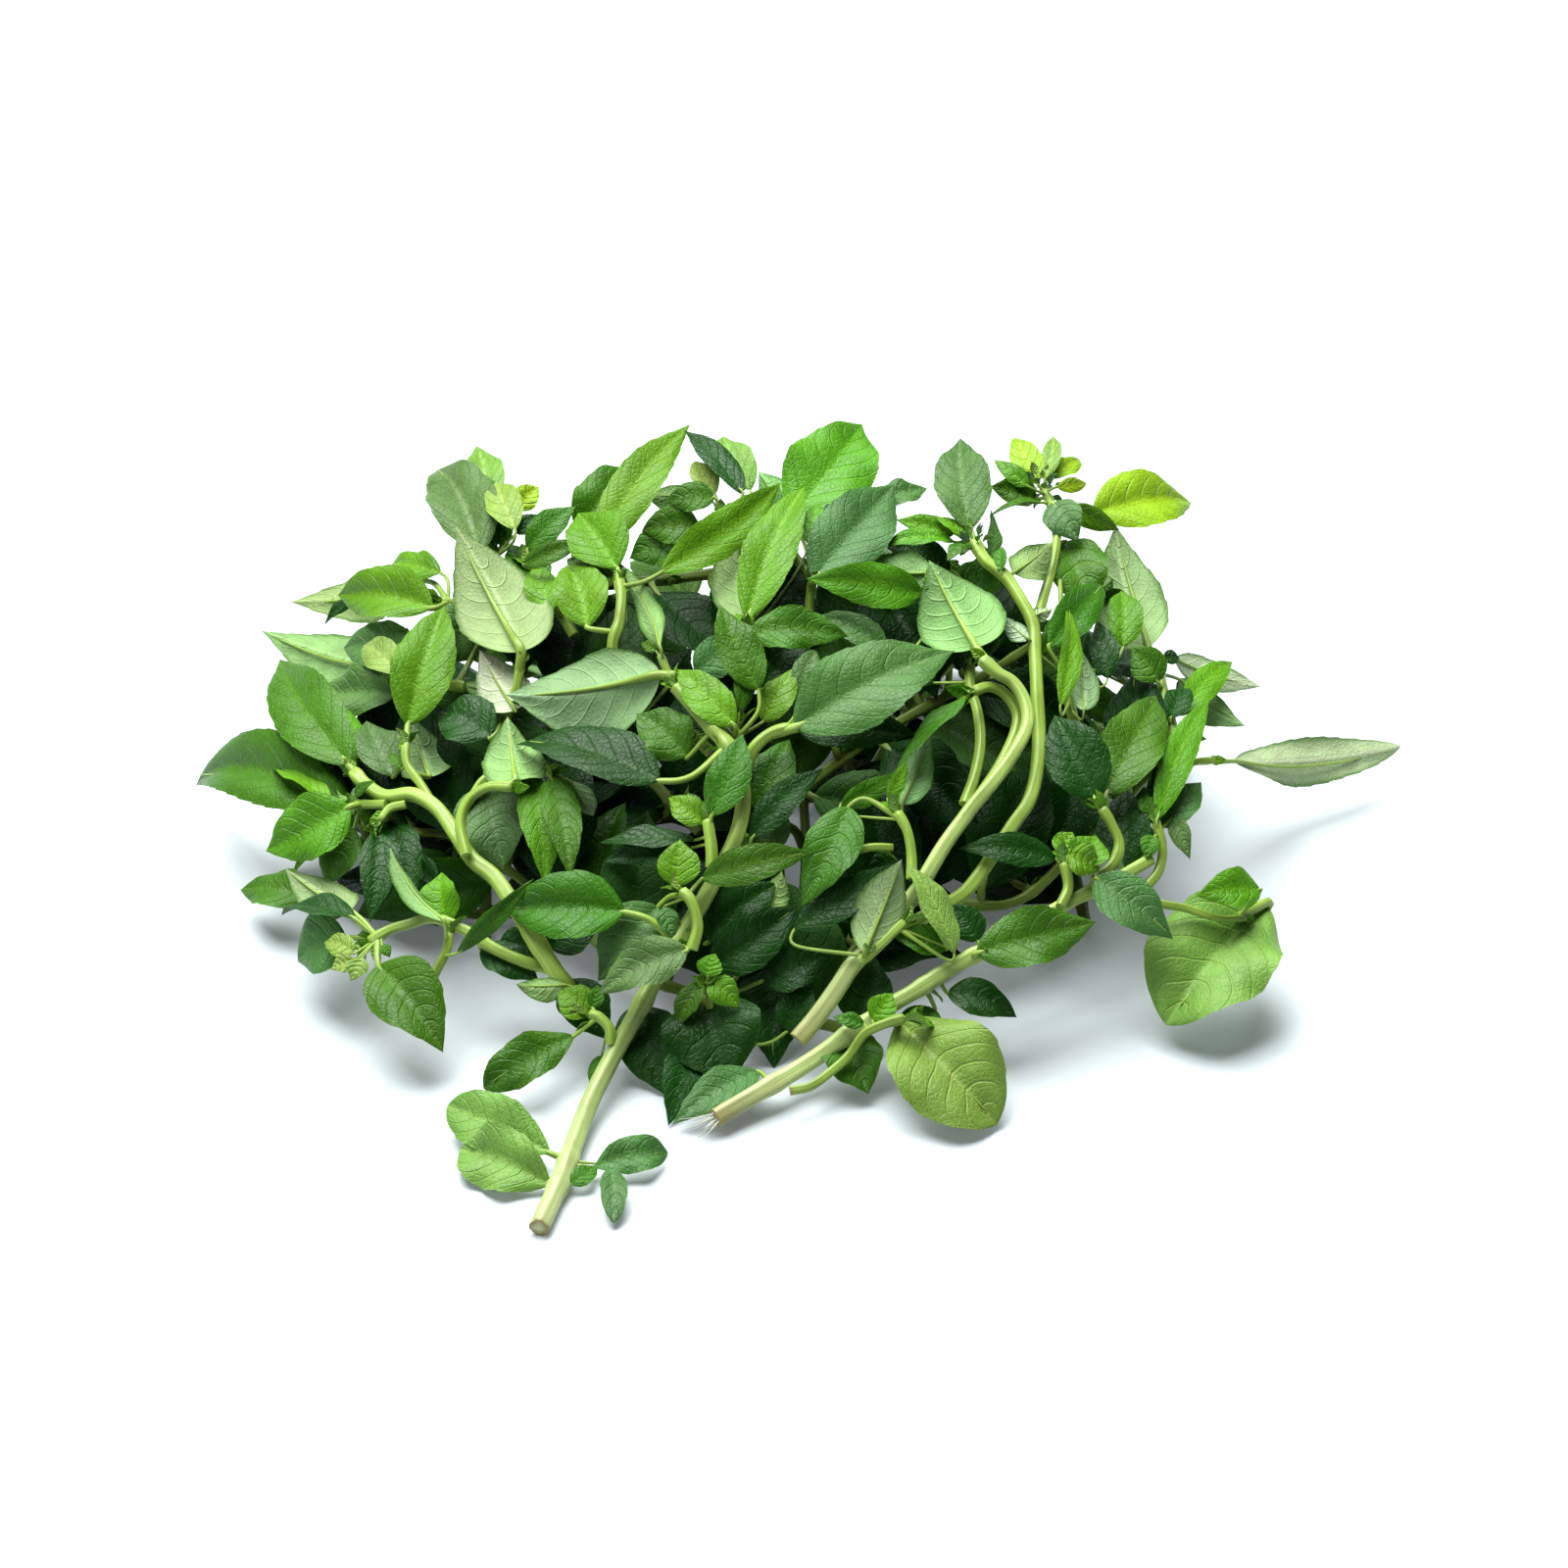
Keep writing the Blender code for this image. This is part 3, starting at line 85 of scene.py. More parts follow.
# What shows of a leaf: its top, from lime to grey, or its underside, pale or silver.
LIME, YOUNG, BRIGHT, MID, DARK, GREY = "lime", "young", "bright", "mid", "dark", "grey"
PALE, SILVER = "pale", "silver"
UNDERSIDES = (PALE, SILVER)


def heap_height(a, b):
    """Height of the heap's surface at a board place: the middle line's, rounded down to the sides."""
    side = math.sqrt(max(0.0, 1.0 - (a / HEAP_HALF_WIDTH) ** 2))
    return float(np.interp(b, HEAP_B, HEAP_Z)) * side


def place(a, b, d=0.0, gap=FLOOR_GAP):
    """The point on the sight line through board place (a, b), d behind the heap, above the table."""
    board = np.array([a, 0.0, 0.0]) + b * BOARD_UP
    ray = (board - EYE) / np.linalg.norm(board - EYE)
    z = max(heap_height(a, b), gap)
    point = EYE + ray * (z - EYE[2]) / ray[2] + d * ray
    if point[2] < gap:
        point = point + ray * (gap - point[2]) / ray[2]
    return point


def unit(vector):
    """The vector at length one."""
    return vector / max(np.linalg.norm(vector), 1e-9)


def smooth_path(points, step):
    """A Catmull-Rom curve through the points, read off at equal steps along its length."""
    p = np.array(points, float)
    p = np.vstack([2 * p[0] - p[1], p, 2 * p[-1] - p[-2]])
    t = np.linspace(0, 1, 12, endpoint=False)[:, None]
    rows = []
    for p0, p1, p2, p3 in zip(p[:-3], p[1:-2], p[2:-1], p[3:]):
        bend = 2 * p0 - 5 * p1 + 4 * p2 - p3
        rows.append(0.5 * (2 * p1 + (p2 - p0) * t + bend * t**2 + (3 * p1 - p0 - 3 * p2 + p3) * t**3))
    curve = np.vstack(rows + [p[-2][None]])
    length = np.concatenate([[0], np.cumsum(np.linalg.norm(np.diff(curve, axis=0), axis=1))])
    count = max(2, int(round(length[-1] / step)) + 1)
    at = np.linspace(0, length[-1], count)
    return np.column_stack([np.interp(at, length, curve[:, i]) for i in range(3)])


def tube(path, radii, sides=6):
    """Points and faces of a closed tube: rings of `sides` points across the path, with flat ends."""
    path = np.asarray(path, float)
    along = np.gradient(path, axis=0)
    along /= np.linalg.norm(along, axis=1)[:, None]
    across = np.cross(along, UP + 0.01)
    across /= np.linalg.norm(across, axis=1)[:, None]
    over = np.cross(across, along)
    turn = np.linspace(0, 2 * math.pi, sides, endpoint=False)[None, :, None]
    ring = across[:, None] * np.cos(turn) + over[:, None] * np.sin(turn)
    points = (path[:, None] + ring * np.asarray(radii, float)[:, None, None]).reshape(-1, 3)
    return points, ring_faces(len(path), sides)


def ring_faces(rings, sides):
    """Faces that join rings of points into a closed tube, end faces included."""
    faces = [list(range(sides)), list(range((rings - 1) * sides, rings * sides))[::-1]]
    for i in range(rings - 1):
        for j in range(sides):
            k = (j + 1) % sides
            faces.append([i * sides + j, (i + 1) * sides + j, (i + 1) * sides + k, i * sides + k])
    return faces


def leaf_shape(stalk_point, base, tip, width, face, under, blunt=False):
    """What fixes one leaf: its petiole's start, its blade's ends and width, and the way its top faces."""
    chord = tip - base
    face = unit(face - unit(chord) * np.dot(face, unit(chord)))
    top = -face if under else face
    length = np.linalg.norm(chord)
    lead = base - unit(chord) * min(0.45 * np.linalg.norm(base - stalk_point), 0.4 * length)
    powers = BLUNT_POWERS if blunt else (LEAF_BASE_POWER, LEAF_TIP_POWER)
    return dict(start=stalk_point, lead=lead, base=base, chord=chord, length=length, width=width, top=top,
                powers=powers)


def leaf_midrib(leaf, u):
    """Points on the midrib at shares u of the blade: the chord from base to tip, bowed towards the top."""
    u = np.asarray(u, float)[:, None]
    bow = leaf["length"] * LEAF_ARCH * np.sin(math.pi * u)
    return leaf["base"] + u * leaf["chord"] + bow * leaf["top"]


def leaf_half_width(leaf, u):
    """Half the blade's width at shares u: u^p (1 - u)^q, scaled to the leaf's width at its widest."""
    p, q = leaf["powers"]
    widest = p / (p + q)
    peak = widest**p * (1 - widest) ** q
    u = np.asarray(u, float)
    return 0.5 * leaf["width"] * u**p * (1 - u) ** q / peak


def blade_stations(leaf):
    """Where a leaf's plain solid has its rings across the blade: more of them on a longer blade."""
    return BLADE_STATIONS[int(leaf["length"] > SHORT_BLADE) + int(leaf["length"] > LONG_BLADE)]


def leaf_solid(leaf, spread=0.0, swell=0.0):
    """Points and faces of a leaf's plain solid: lens-shaped rings of four points, then a tip."""
    start, lead, base = leaf["start"], leaf["lead"], leaf["base"]
    stalk = [start, base]
    if np.linalg.norm(base - start) > LONG_PETIOLE:
        stalk.insert(1, 0.25 * start + 0.5 * lead + 0.25 * base)
    stations = blade_stations(leaf)
    blade = leaf_midrib(leaf, stations)
    spine = np.vstack([*stalk, blade])
    tip = leaf_midrib(leaf, [1.0])[0]
    along = np.gradient(np.vstack([spine, tip]), axis=0)[:-1]
    across = np.cross(leaf["top"], along)
    across /= np.linalg.norm(across, axis=1)[:, None]
    over = np.cross(along, across)
    over /= np.linalg.norm(over, axis=1)[:, None]
    half = np.concatenate([[PETIOLE_RADIUS] * len(stalk), leaf_half_width(leaf, stations)]) + spread
    thick = np.array([PETIOLE_RADIUS] * len(stalk) + [LEAF_HALF_THICK] * len(stations)) + swell
    fold = np.array([0.0] * len(stalk) + [LEAF_FOLD] * len(stations))
    lift = (half * np.sin(fold))[:, None] * over
    side = (half * np.cos(fold))[:, None] * across
    deep = thick[:, None] * over
    rings = np.stack([spine - side + lift, spine + deep, spine + side + lift, spine - deep], axis=1)
    floor = np.array([0.5, 1.0, 0.5, 0.0]) * LEAF_HALF_THICK * 2
    rings[:, :, 2] = np.maximum(rings[:, :, 2], floor)
    tip = np.array([tip[0], tip[1], max(tip[2], LEAF_HALF_THICK)])
    count = len(spine)
    faces = ring_faces(count, 4)
    faces = [face[::-1] for face in faces if face != faces[1]]
    last = 4 * (count - 1)
    faces += [[last + (j + 1) % 4, 4 * count, last + j][::-1] for j in range(4)]
    return np.vstack([rings.reshape(-1, 3), tip]), faces


class Heap:
    """What is placed so far, as search trees with their boxes, to keep every new shape clear of it."""

    def __init__(self):
        self.items = []

    def add(self, owner, points, faces):
        """Adds a shape that later shapes stay clear of."""
        tree = BVHTree.FromPolygons(points.tolist(), faces)
        self.items.append((owner, points.min(0), points.max(0), tree))

    def is_clear(self, points, faces, skip=()):
        """Whether the shape crosses nothing placed so far, apart from the owners in skip."""
        low, high = points.min(0), points.max(0)
        tree = None
        for owner, item_low, item_high, item_tree in self.items:
            if owner in skip or (low > item_high).any() or (high < item_low).any():
                continue
            tree = tree or BVHTree.FromPolygons(points.tolist(), faces)
            if tree.overlap(item_tree):
                return False
        return True


def search_order(*steps):
    """Every mix of the given steps, each step a dict of value to cost, with the cheapest mix first."""
    mixes = [((), 0.0)]
    for step in steps:
        mixes = [(values + (value,), cost + step[value]) for values, cost in mixes for value in step]
    return [values for values, cost in sorted(mixes, key=lambda mix: mix[1])]


DEPTH_STEPS = {0: 0, 3: 1, 6: 2, -3: 2.2, 10: 3, -6: 4, 15: 4.5, 21: 6, -10: 7}
ROLL_STEPS = {0: 0, 14: 1.2, -14: 1.3, 28: 3, -28: 3.1, 42: 5}
LEAN_STEPS = {0: 0, 6: 1.4, -6: 1.5, 12: 3.5, -12: 3.6}
LEAF_POSES = search_order(DEPTH_STEPS, ROLL_STEPS, LEAN_STEPS)[:110]
STALK_SHIFTS = {0: 0, 2: 1, -2: 1.1, 4: 2, -4: 2.1, 8: 3, 12: 4, -8: 4.5}
STALK_TRIMS = {0: 0, 2: 0.2, 4: 0.5, 7: 1, 11: 2}
STALK_POSES = search_order(STALK_SHIFTS, STALK_TRIMS)
PLAIN_ROW = 9


def turned(vector, axis, degrees):
    """The vector turned about an axis of length one."""
    angle = math.radians(degrees)
    flat = vector * math.cos(angle) + np.cross(axis, vector) * math.sin(angle)
    return flat + axis * np.dot(axis, vector) * (1 - math.cos(angle))


def board_poses(row):
    """The poses that a leaf on the board may take: base, tip and the way that it faces, likeliest first."""
    base_a, base_b, tip_a, tip_b, width, depth, look, *more = row
    roll, lean = [*more, 0, 0][:2]
    for step, more_roll, more_lean in LEAF_POSES:
        base = place(base_a, base_b, depth + step)
        tip = place(tip_a, tip_b, depth + lean + step + more_lean)
        middle = 0.5 * (base + tip)
        facing = unit(0.75 * unit(EYE - middle) + 0.45 * UP)
        yield base, tip, turned(facing, unit(tip - base), roll + more_roll)


def within_outline(points):
    """Whether the points, seen along the sight lines, all fall inside the outline kept for inner leaves."""
    ray = points - EYE
    seen = EYE + ray * (np.dot(EYE, EYE) / -(ray @ EYE))[:, None]
    a, b = seen[:, :1], seen @ BOARD_UP[:, None]
    start = np.array(OUTLINE, float)
    end = np.roll(start, -1, axis=0)
    spans = (start[:, 1] > b) != (end[:, 1] > b)
    rise = np.where(start[:, 1] == end[:, 1], 1.0, end[:, 1] - start[:, 1])
    crossing = start[:, 0] + (b - start[:, 1]) * (end[:, 0] - start[:, 0]) / rise
    return bool(((spans & (a < crossing)).sum(1) % 2 == 1).all())


def grow_leaf(heap, name, stalk, radius, inner, poses, width, look, blunt=False):
    """The first pose of a leaf that is clear of the heap, as a leaf, or None where every pose is taken. An
    inner leaf also keeps inside the heap's outline."""
    for base, tip, face in poses:
        nearest = np.argmin(np.linalg.norm(stalk - base, axis=1))
        start = stalk[min(max(nearest, 2), len(stalk) - 3)]
        leaf = leaf_shape(start, base, tip, width, face, look in UNDERSIDES, blunt)
        if leaf_midrib(leaf, [0.0, 0.5, 1.0])[:, 2].min() < -1.0:
            continue
        if inner and not within_outline(leaf_solid(leaf)[0]):
            continue
        reach = np.linalg.norm(leaf["lead"] - start)
        off = min(0.8, (radius + 1.3) / max(reach, 1e-6))
        guard = dict(leaf, start=start + (leaf["lead"] - start) * off)
        points, faces = leaf_solid(guard, CLEARANCE, CLEARANCE)
        if heap.is_clear(points, faces, skip=(name, name + ":leaf") if width < BUDLIKE else (name,)):
            heap.add(name + ":leaf", *leaf_solid(guard))
            leaf["look"] = look
            return leaf
    return None


def fit_stalk(heap, name, choices, radii):
    """A stalk through the first choice of points and trimmed start that is clear of the heap."""
    for points, trim in choices:
        path = smooth_path(points, 1.0)
        thick = np.linspace(radii[0], radii[1], len(path))
        path[:, 2] = np.maximum(path[:, 2], thick)
        if trim > 0.4 * len(path):
            continue
        whole, path, thick = path, path[trim:], thick[trim:]
        keep = sparse(len(path))
        if heap.is_clear(*tube(path[keep], thick[keep] + CLEARANCE)):
            heap.add(name, *tube(path[keep], thick[keep]))
            return whole, path, thick
    return None


def sparse(count, most=5):
    """Every few stations of a path, its two ends included."""
    return np.unique(np.round(np.linspace(0, count - 1, max(3, (count - 1) // most + 1))).astype(int))


def chords(path):
    """The path's points moved onto the straight lines between the stations that its plain solid keeps."""
    keep = sparse(len(path), STALK_STATION)
    return np.column_stack([np.interp(np.arange(len(path)), keep, path[keep, i]) for i in range(3)])


def grow_along(heap, name, routes, radii, sprigs, inner=True):
    """A branch: the first of the routes that is clear of the heap, as its stalk, and each of its leaves
    that finds room. Given the stalk's path, sprigs yields each leaf's poses, width, look and bluntness."""
    grown = fit_stalk(heap, name, routes, radii)
    if grown is None:
        return None
    whole, path, thick = grown
    leaves = [grow_leaf(heap, name, chords(path), radii[0], inner, *sprig) for sprig in sprigs(path)]
    leaves = [leaf for leaf in leaves if leaf is not None]
    return dict(name=name, whole=whole, path=path, thick=thick, leaves=leaves)


def grow_branch(heap, name, branch, inner=False):
    """One branch that is planned on the board."""
    radii = branch["radii"]
    stalk = branch["stalk"]
    routes = (([place(a, b, d + step, radii[0]) for a, b, d in stalk], trim) for step, trim in STALK_POSES)

    def sprigs(path):
        """Each row of the plan as a leaf's choices."""
        return ((board_poses(row), row[4], row[6], len(row) > PLAIN_ROW) for row in branch["leaves"])

    return grow_along(heap, name, routes, radii, sprigs, inner)



# The plan. Stalk places are (a, b, d), radii are at the start and the end of the stalk. A leaf's row is
# base a, base b, tip a, tip b, width, d, what shows, then how far it is rolled, how far its tip leans,
# and a last value where its tip is blunt.
PLAN = {
    "stem_front": dict(radii=(2.3, 1.7), stalk=[
        (-65, -77, 0), (-60, -66, 0), (-57, -58, 0), (-52, -45, 0), (-46, -33, 0), (-41, -24, 0),
        (-35, -13, 1), (-29, -3, 1), (-24, 5, 1), (-19, 14, 1), (-15, 22, 0), (-13, 30, 0),
        (-13.5, 38, 0), (-17, 46, 0), (-24, 54, -1), (-30, 61, -2)], leaves=[
        (-62, -58, -88, -46, 14, -2, YOUNG, 0, 0, 1), (-62, -66, -85, -57, 15, 0, YOUNG, 0, 0, 1),
        (-51, -61.5, -32, -57.5, 9, 0, GREY, 0, 0, 1), (-47, -61, -46, -75.5, 6, 0, GREY, 0, 0, 1),
        (-57, -66, -50, -61, 5, 0, MID), (-27, -6, -50, -17.5, 12, -6, GREY),
        (-43, 3.5, -74, 4.5, 17, -1, MID),
        (-34, 37, -71, 47.5, 17, 0, DARK, 20), (-27, 43, -40, 54, 13, 4, MID),
        (-39, -20, -33, -43, 15, 8, DARK)]),
    "stem_right": dict(radii=(2.4, 1.6), stalk=[
        (-20, -49, 0), (-10, -43, 0), (-3, -39, 0), (5, -34, 0), (12, -29, 0), (18, -25, 0),
        (25, -20, 0), (31, -16.5, 0), (38, -12, 0), (45, -8, 0), (52, -5, 0), (60, 0, 0),
        (68, 5, 0), (76, 9, 0), (84, 13, 0), (91, 17, 0)], leaves=[
        (46.5, -7, 77, 1, 14, -5, MID), (47, -4, 40, 5.5, 8, 0, DARK), (39, -17, 57, -23, 9, 1, DARK),
        (36, -21, 27, -36, 11, 4, MID), (13, -28, 19, -43, 14, 4, MID), (16, -25, 21, -8, 13, 8, DARK),
        (76.5, 12.5, 97, -3, 13, -5, GREY), (-9, -37, -31, -50.5, 10, 2, GREY, 10)]),
    "stem_middle": dict(radii=(2.4, 1.4), stalk=[
        (1, -29, 5), (6, -23, 5), (11, -16, 4), (15, -10, 4), (20, -5, 4), (26, 2, 3), (32, 10, 1),
        (38, 20, 0), (43, 27, 0), (46, 31, -1), (51, 37, -3), (56, 44, -4), (59.5, 51, -4),
        (59, 57, -4), (56, 62, -4), (52, 64.5, -4), (48, 68, -4)], leaves=[
        (46.5, 71, 34.5, 93, 21, -2, PALE)]),
    "stem_arch_inner": dict(radii=(1.5, 1.2), stalk=[
        (47, 32.5, 0), (52, 40, 0), (56, 48, 0), (57, 54, 0), (54, 59, -1), (50, 61, -2), (46, 60, -3)],
        leaves=[(44, 58.5, 26, 40, 6, -3, MID, 30)]),
    "stem_thin": dict(radii=(1.4, 1.1), stalk=[
        (43.5, 31, 3), (46, 38, 4), (47.5, 46, 5), (47, 54, 6), (45, 61, 8), (45, 66, 9)],
        leaves=[(36, 62, 25, 70, 8, 9, DARK), (45, 68, 52, 76, 6, 7, MID)]),
    "stem_left": dict(radii=(2.4, 1.6), stalk=[
        (-56, -19, 3), (-60, -13, 0), (-65, -5, 0), (-70, 3, 0), (-76, 12, 0), (-82, 17, 0),
        (-86, 23, 0), (-91, 30, 0), (-97, 33.5, 0), (-104, 33, 0), (-109, 36, 0), (-112, 39, 0)],
        leaves=[(-113.5, 41, -131, 68, 17, 0, MID, -12), (-113, 41, -118, 58, 8, 4, BRIGHT, 30),
                (-58, -14, -47, -29, 12, 6, DARK), (-62, -6, -50, 4, 12, 8, DARK),
                (-65, -4, -77, -9, 10, 8, DARK)]),
    "stem_low_left": dict(radii=(1.7, 1.2), stalk=[
        (-62, -11, 6), (-69, -9, 4), (-76, -6, 3), (-84, -1, 2), (-92, 2, 0), (-98, 0.5, 0), (-103, -1, 0),
        (-108, -4, 0)], leaves=[
        (-113, 4, -130, 15, 12, 0, PALE, 10), (-124, 7, -141, 9, 12, 4, MID, 10),
        (-112, 2, -131, 4, 10, 3, DARK, 35), (-114, -3, -127, -9, 15, 4, GREY),
        (-106, -10, -89.5, -32, 17, -2, MID), (-112, -7, -120, -4, 6, -3, YOUNG),
        (-112, -9, -118, -11, 5, -3, YOUNG), (-110, -8, -113, -14, 5, -4, YOUNG),
        (-105, -5, -103, -8, 3, -2, MID), (-80, -6, -65, -14, 9, 6, DARK)]),
    "stem_flowering": dict(radii=(1.9, 1.4), stalk=[
        (28, -1, 6), (36, 4, 5), (43, 8, 4), (48, 14, 4), (52, 20, 4), (56, 26, 3), (60, 32, 2),
        (62, 40, 4), (62.5, 50, 5), (62, 60, 3), (61.5, 70, 2), (61, 77, 1), (58, 83, 0),
        (54, 89, 0), (49, 93, 0), (46, 98, 0)], leaves=[
        (45, 101, 42.5, 124, 14, -1, GREY), (44, 99, 36, 104.5, 6, 1, BRIGHT, 30),
        (46, 98, 39, 93, 5, 2, MID, 30), (50, 94, 50, 106, 5, 3, GREY, 40),
        (53, 90, 53, 97, 4, -2, MID, -30), (41, 98, 22, 97, 6, 4, BRIGHT, 25),
        (41, 100, 26, 103.5, 6, 6, BRIGHT), (56, 90, 66, 98, 10, 1, PALE),
        (60, 73, 53, 79, 5, 0, SILVER), (61, 79, 66, 81, 4, -1, SILVER, 20)]),
    "stem_flower_tip": dict(radii=(1.3, 1.0), stalk=[
        (62, 78, 9), (64, 85, 9), (66, 92, 9), (67, 99, 8), (66, 106, 8), (63.5, 112, 8)], leaves=[
        (62, 113, 56, 125, 8, 7, LIME), (66, 114, 73, 119, 6, 7, LIME),
        (64, 114, 66, 125, 5, 4, YOUNG), (60, 112, 51, 119, 5, 4, BRIGHT),
        (67, 112, 75, 113, 4, 4, LIME, 20),
        (62, 109, 50, 112, 8, 9, MID), (63, 108, 50, 104.5, 4, 7, MID, 40),
        (66, 108, 72.5, 98, 10, 4, GREY), (70, 107, 83, 101, 6, 6, BRIGHT, 30),
        (76, 105, 102, 108.5, 17, 7, LIME)]),
    "stem_far_right": dict(radii=(1.6, 1.2), stalk=[
        (99, 30, 14), (98, 38, 10), (97, 45, 9), (96, 52, 8), (94, 60, 8), (93, 66, 8)], leaves=[
        (93, 62, 86, 71, 9, 4, MID), (94, 68, 98.5, 68, 4, 5, DARK), (90.5, 71, 82, 101.5, 18, 8, PALE),
        (96, 53, 101, 61, 7, 4, DARK), (99.5, 54, 112, 67.5, 8, 3, BRIGHT),
        (97, 68, 119, 61, 9, 16, SILVER), (98, 63, 115, 51, 9, 12, PALE)]),
    "stem_back_left": dict(radii=(1.7, 1.2), stalk=[
        (-26, 34, 44), (-38, 50, 26), (-46, 68, 8), (-44.5, 78, 4), (-44, 84, 3), (-44.5, 88, 3)],
        leaves=[(-34, 90, -3, 113.5, 11, 0, BRIGHT, 10), (-45, 91, -55, 105, 15, 2, BRIGHT),
                (-46, 88, -58, 94, 8, 5, GREY, 20),
                (-52.5, 76, -58, 92.5, 13.5, 2, BRIGHT)]),
    "shoot_left_tip": dict(radii=(1.3, 0.9), stalk=[(-104, 31, 1), (-108, 31, 1), (-112, 31, 1)], leaves=[
        (-114.5, 29, -155, 38.5, 19, 6, MID), (-118, 31.5, -133, 40, 7, 2, BRIGHT, 30),
        (-113, 30.5, -134.5, 19, 16, 0, BRIGHT), (-112, 25, -119, 10, 10, 6, MID),
        (-112, 33, -107, 37, 3, 0, MID)]),
    "shoot_left_upright": dict(radii=(1.2, 0.9), stalk=[(-92, 31, 2), (-95, 36, 1), (-98.5, 41, -1),
        (-99, 46, -2)], leaves=[
        (-98.5, 51, -89, 82, 15, -2, BRIGHT), (-93, 38, -98, 53, 13, 7, PALE),
        (-102, 38, -109, 52, 11, 8, GREY), (-100, 40, -103, 44, 3, 1, MID)]),
    "shoot_left_hanging": dict(radii=(1.1, 0.8), stalk=[(-99, 31, 4), (-103, 30, 3), (-105.5, 27, 2)],
        leaves=[
        (-106, 24, -108, 1, 9, 2, DARK), (-103, 27, -97, 4, 12, 8, DARK)]),
    "shoot_low_left_upright": dict(radii=(1.3, 1.0), stalk=[(-94, -17, 0), (-91, -11, 0), (-88.5, -6, 0),
        (-88, -2, 0)], leaves=[
        (-89, 1, -103, 20, 9, -1, PALE, 45), (-88, 0, -90, 14, 10, 2, BRIGHT, -20),
        (-86, -7, -66, 12, 5, -4, MID, 40), (-91, 10, -102, 18, 7, 6, DARK)]),
    "leaf_left_arched": dict(radii=(1.5, 1.0), stalk=[(-83.5, 18, 0), (-85, 26, -1), (-83, 32, -3),
        (-78, 35.5, -4), (-72, 35.5, -5)], leaves=[(-71, 37, -73, 53, 15, -5, PALE)]),
    "shoot_left_inner": dict(radii=(1.2, 0.9), stalk=[(-84, 30, 8), (-78, 38, 8), (-70, 41, 7),
        (-63, 40, 6)],
        leaves=[
        (-79, 35.5, -74, 14.5, 19, 3, GREY), (-67, 38, -63.5, 10, 10, 2, BRIGHT),
        (-62, 38, -57, 12, 9, 5, MID), (-60, 38, -58, 23, 5, 8, DARK), (-57, 37, -51, 28, 6, 8, PALE)]),
    "shoot_far_left": dict(radii=(1.3, 0.9), stalk=[(-84, 61, 10), (-92, 62, 7), (-100, 64, 4)], leaves=[
        (-101, 64, -110, 72, 9, 0, YOUNG), (-104, 66, -135.5, 75, 18, 9, PALE),
        (-101, 59, -122, 58, 14, 14, GREY), (-96, 70, -115, 71, 13, 10, GREY),
        (-78, 80, -91.5, 67, 15, 3, GREY)]),
    "shoot_back_left": dict(radii=(1.2, 0.9), stalk=[(-80, 80, 14), (-86, 82, 9), (-90, 83, 5)], leaves=[
        (-92, 81, -116, 84, 15, 2, BRIGHT), (-98, 88, -127, 82, 15, 12, PALE),
        (-108, 84, -120, 77, 4, 8, DARK, 20), (-90, 90, -104, 92, 9, 8, BRIGHT)]),
    "shoot_top_left": dict(radii=(1.4, 0.9), stalk=[(-72, 80, 16), (-75, 90, 10), (-77, 97, 8)], leaves=[
        (-80, 95, -91.5, 118, 17, 0, GREY), (-73, 97, -88, 115, 14, 5, MID),
        (-79, 105, -81, 122, 10, 8, YOUNG), (-71, 101, -76, 114, 9, 4, YOUNG),
        (-71, 106, -65, 112, 7, 8, LIME), (-71, 100, -65.5, 105, 5, 1, DARK)]),
    "leaf_left_pale": dict(radii=(1.4, 1.0), stalk=[(-74, 52, 10), (-71, 60, 5), (-69.5, 67, 1)], leaves=[
        (-69.5, 70, -86, 101, 23, -2, PALE), (-71, 55, -80, 70, 13, 2, SILVER),
        (-77, 48, -91, 55, 14, 5, DARK), (-76, 60, -86, 62, 5, 8, PALE)]),
    "leaf_pale_big": dict(radii=(1.4, 1.2), stalk=[(-24, 60, 5), (-28, 62.5, 1), (-32, 64, -2)], leaves=[
        (-34, 64, -73, 58.5, 23, -4, PALE), (-50, 50, -73, 53, 9, 5, DARK, 20)]),
    "shoot_top_mid_left": dict(radii=(1.4, 0.9), stalk=[
        (-56, 74, 20), (-62, 84, 14), (-67, 92, 8)], leaves=[
        (-68, 96, -55.5, 107, 8, 4, MID), (-69, 92, -53, 98.5, 6, 2, MID), (-65, 84, -72, 97, 11, 7, MID),
        (-62, 80, -66, 92, 9, 9, BRIGHT), (-66, 97, -58, 107, 6, 12, GREY)]),
    "leaf_top_long": dict(radii=(1.2, 1.0), stalk=[(-52, 82, 14), (-55, 92, 9), (-56, 98, 6)], leaves=[
        (-50, 96, -26.5, 127.5, 12, 4, BRIGHT), (-55, 100, -40, 118, 14, 10, MID)]),
    "leaf_folded": dict(radii=(1.2, 0.9), stalk=[(-29, 60, 2), (-32, 64.5, 0), (-34, 69, -2)], leaves=[
        (-34, 71, -46, 94, 8, -3, PALE, -50), (-35, 70, -39, 72, 3, 0, MID)]),
    "shoot_top_mid": dict(radii=(1.4, 0.9), stalk=[(-14, 84, 22), (-17, 94, 14), (-18, 104, 9)], leaves=[
        (-13, 110, -28, 126, 8, 2, DARK, 20), (-11, 111, -18, 125, 10, 6, YOUNG),
        (-20, 110, -25, 119, 7, 8, YOUNG), (-20, 109, -33, 108, 8, 4, MID),
        (-25, 110, -38, 110, 8, 10, PALE), (-24, 102, -39, 101, 10, 8, MID),
        (-28, 98, -42, 94, 11, 8, MID)]),
    "shoot_back_mid": dict(radii=(1.4, 1.0), stalk=[(-6, 57, 24), (-9, 69, 10), (-11.5, 76, 4)], leaves=[
        (-12, 78, 3, 113, 13, 3, BRIGHT), (-12.5, 77, -15, 107, 13, 2, PALE),
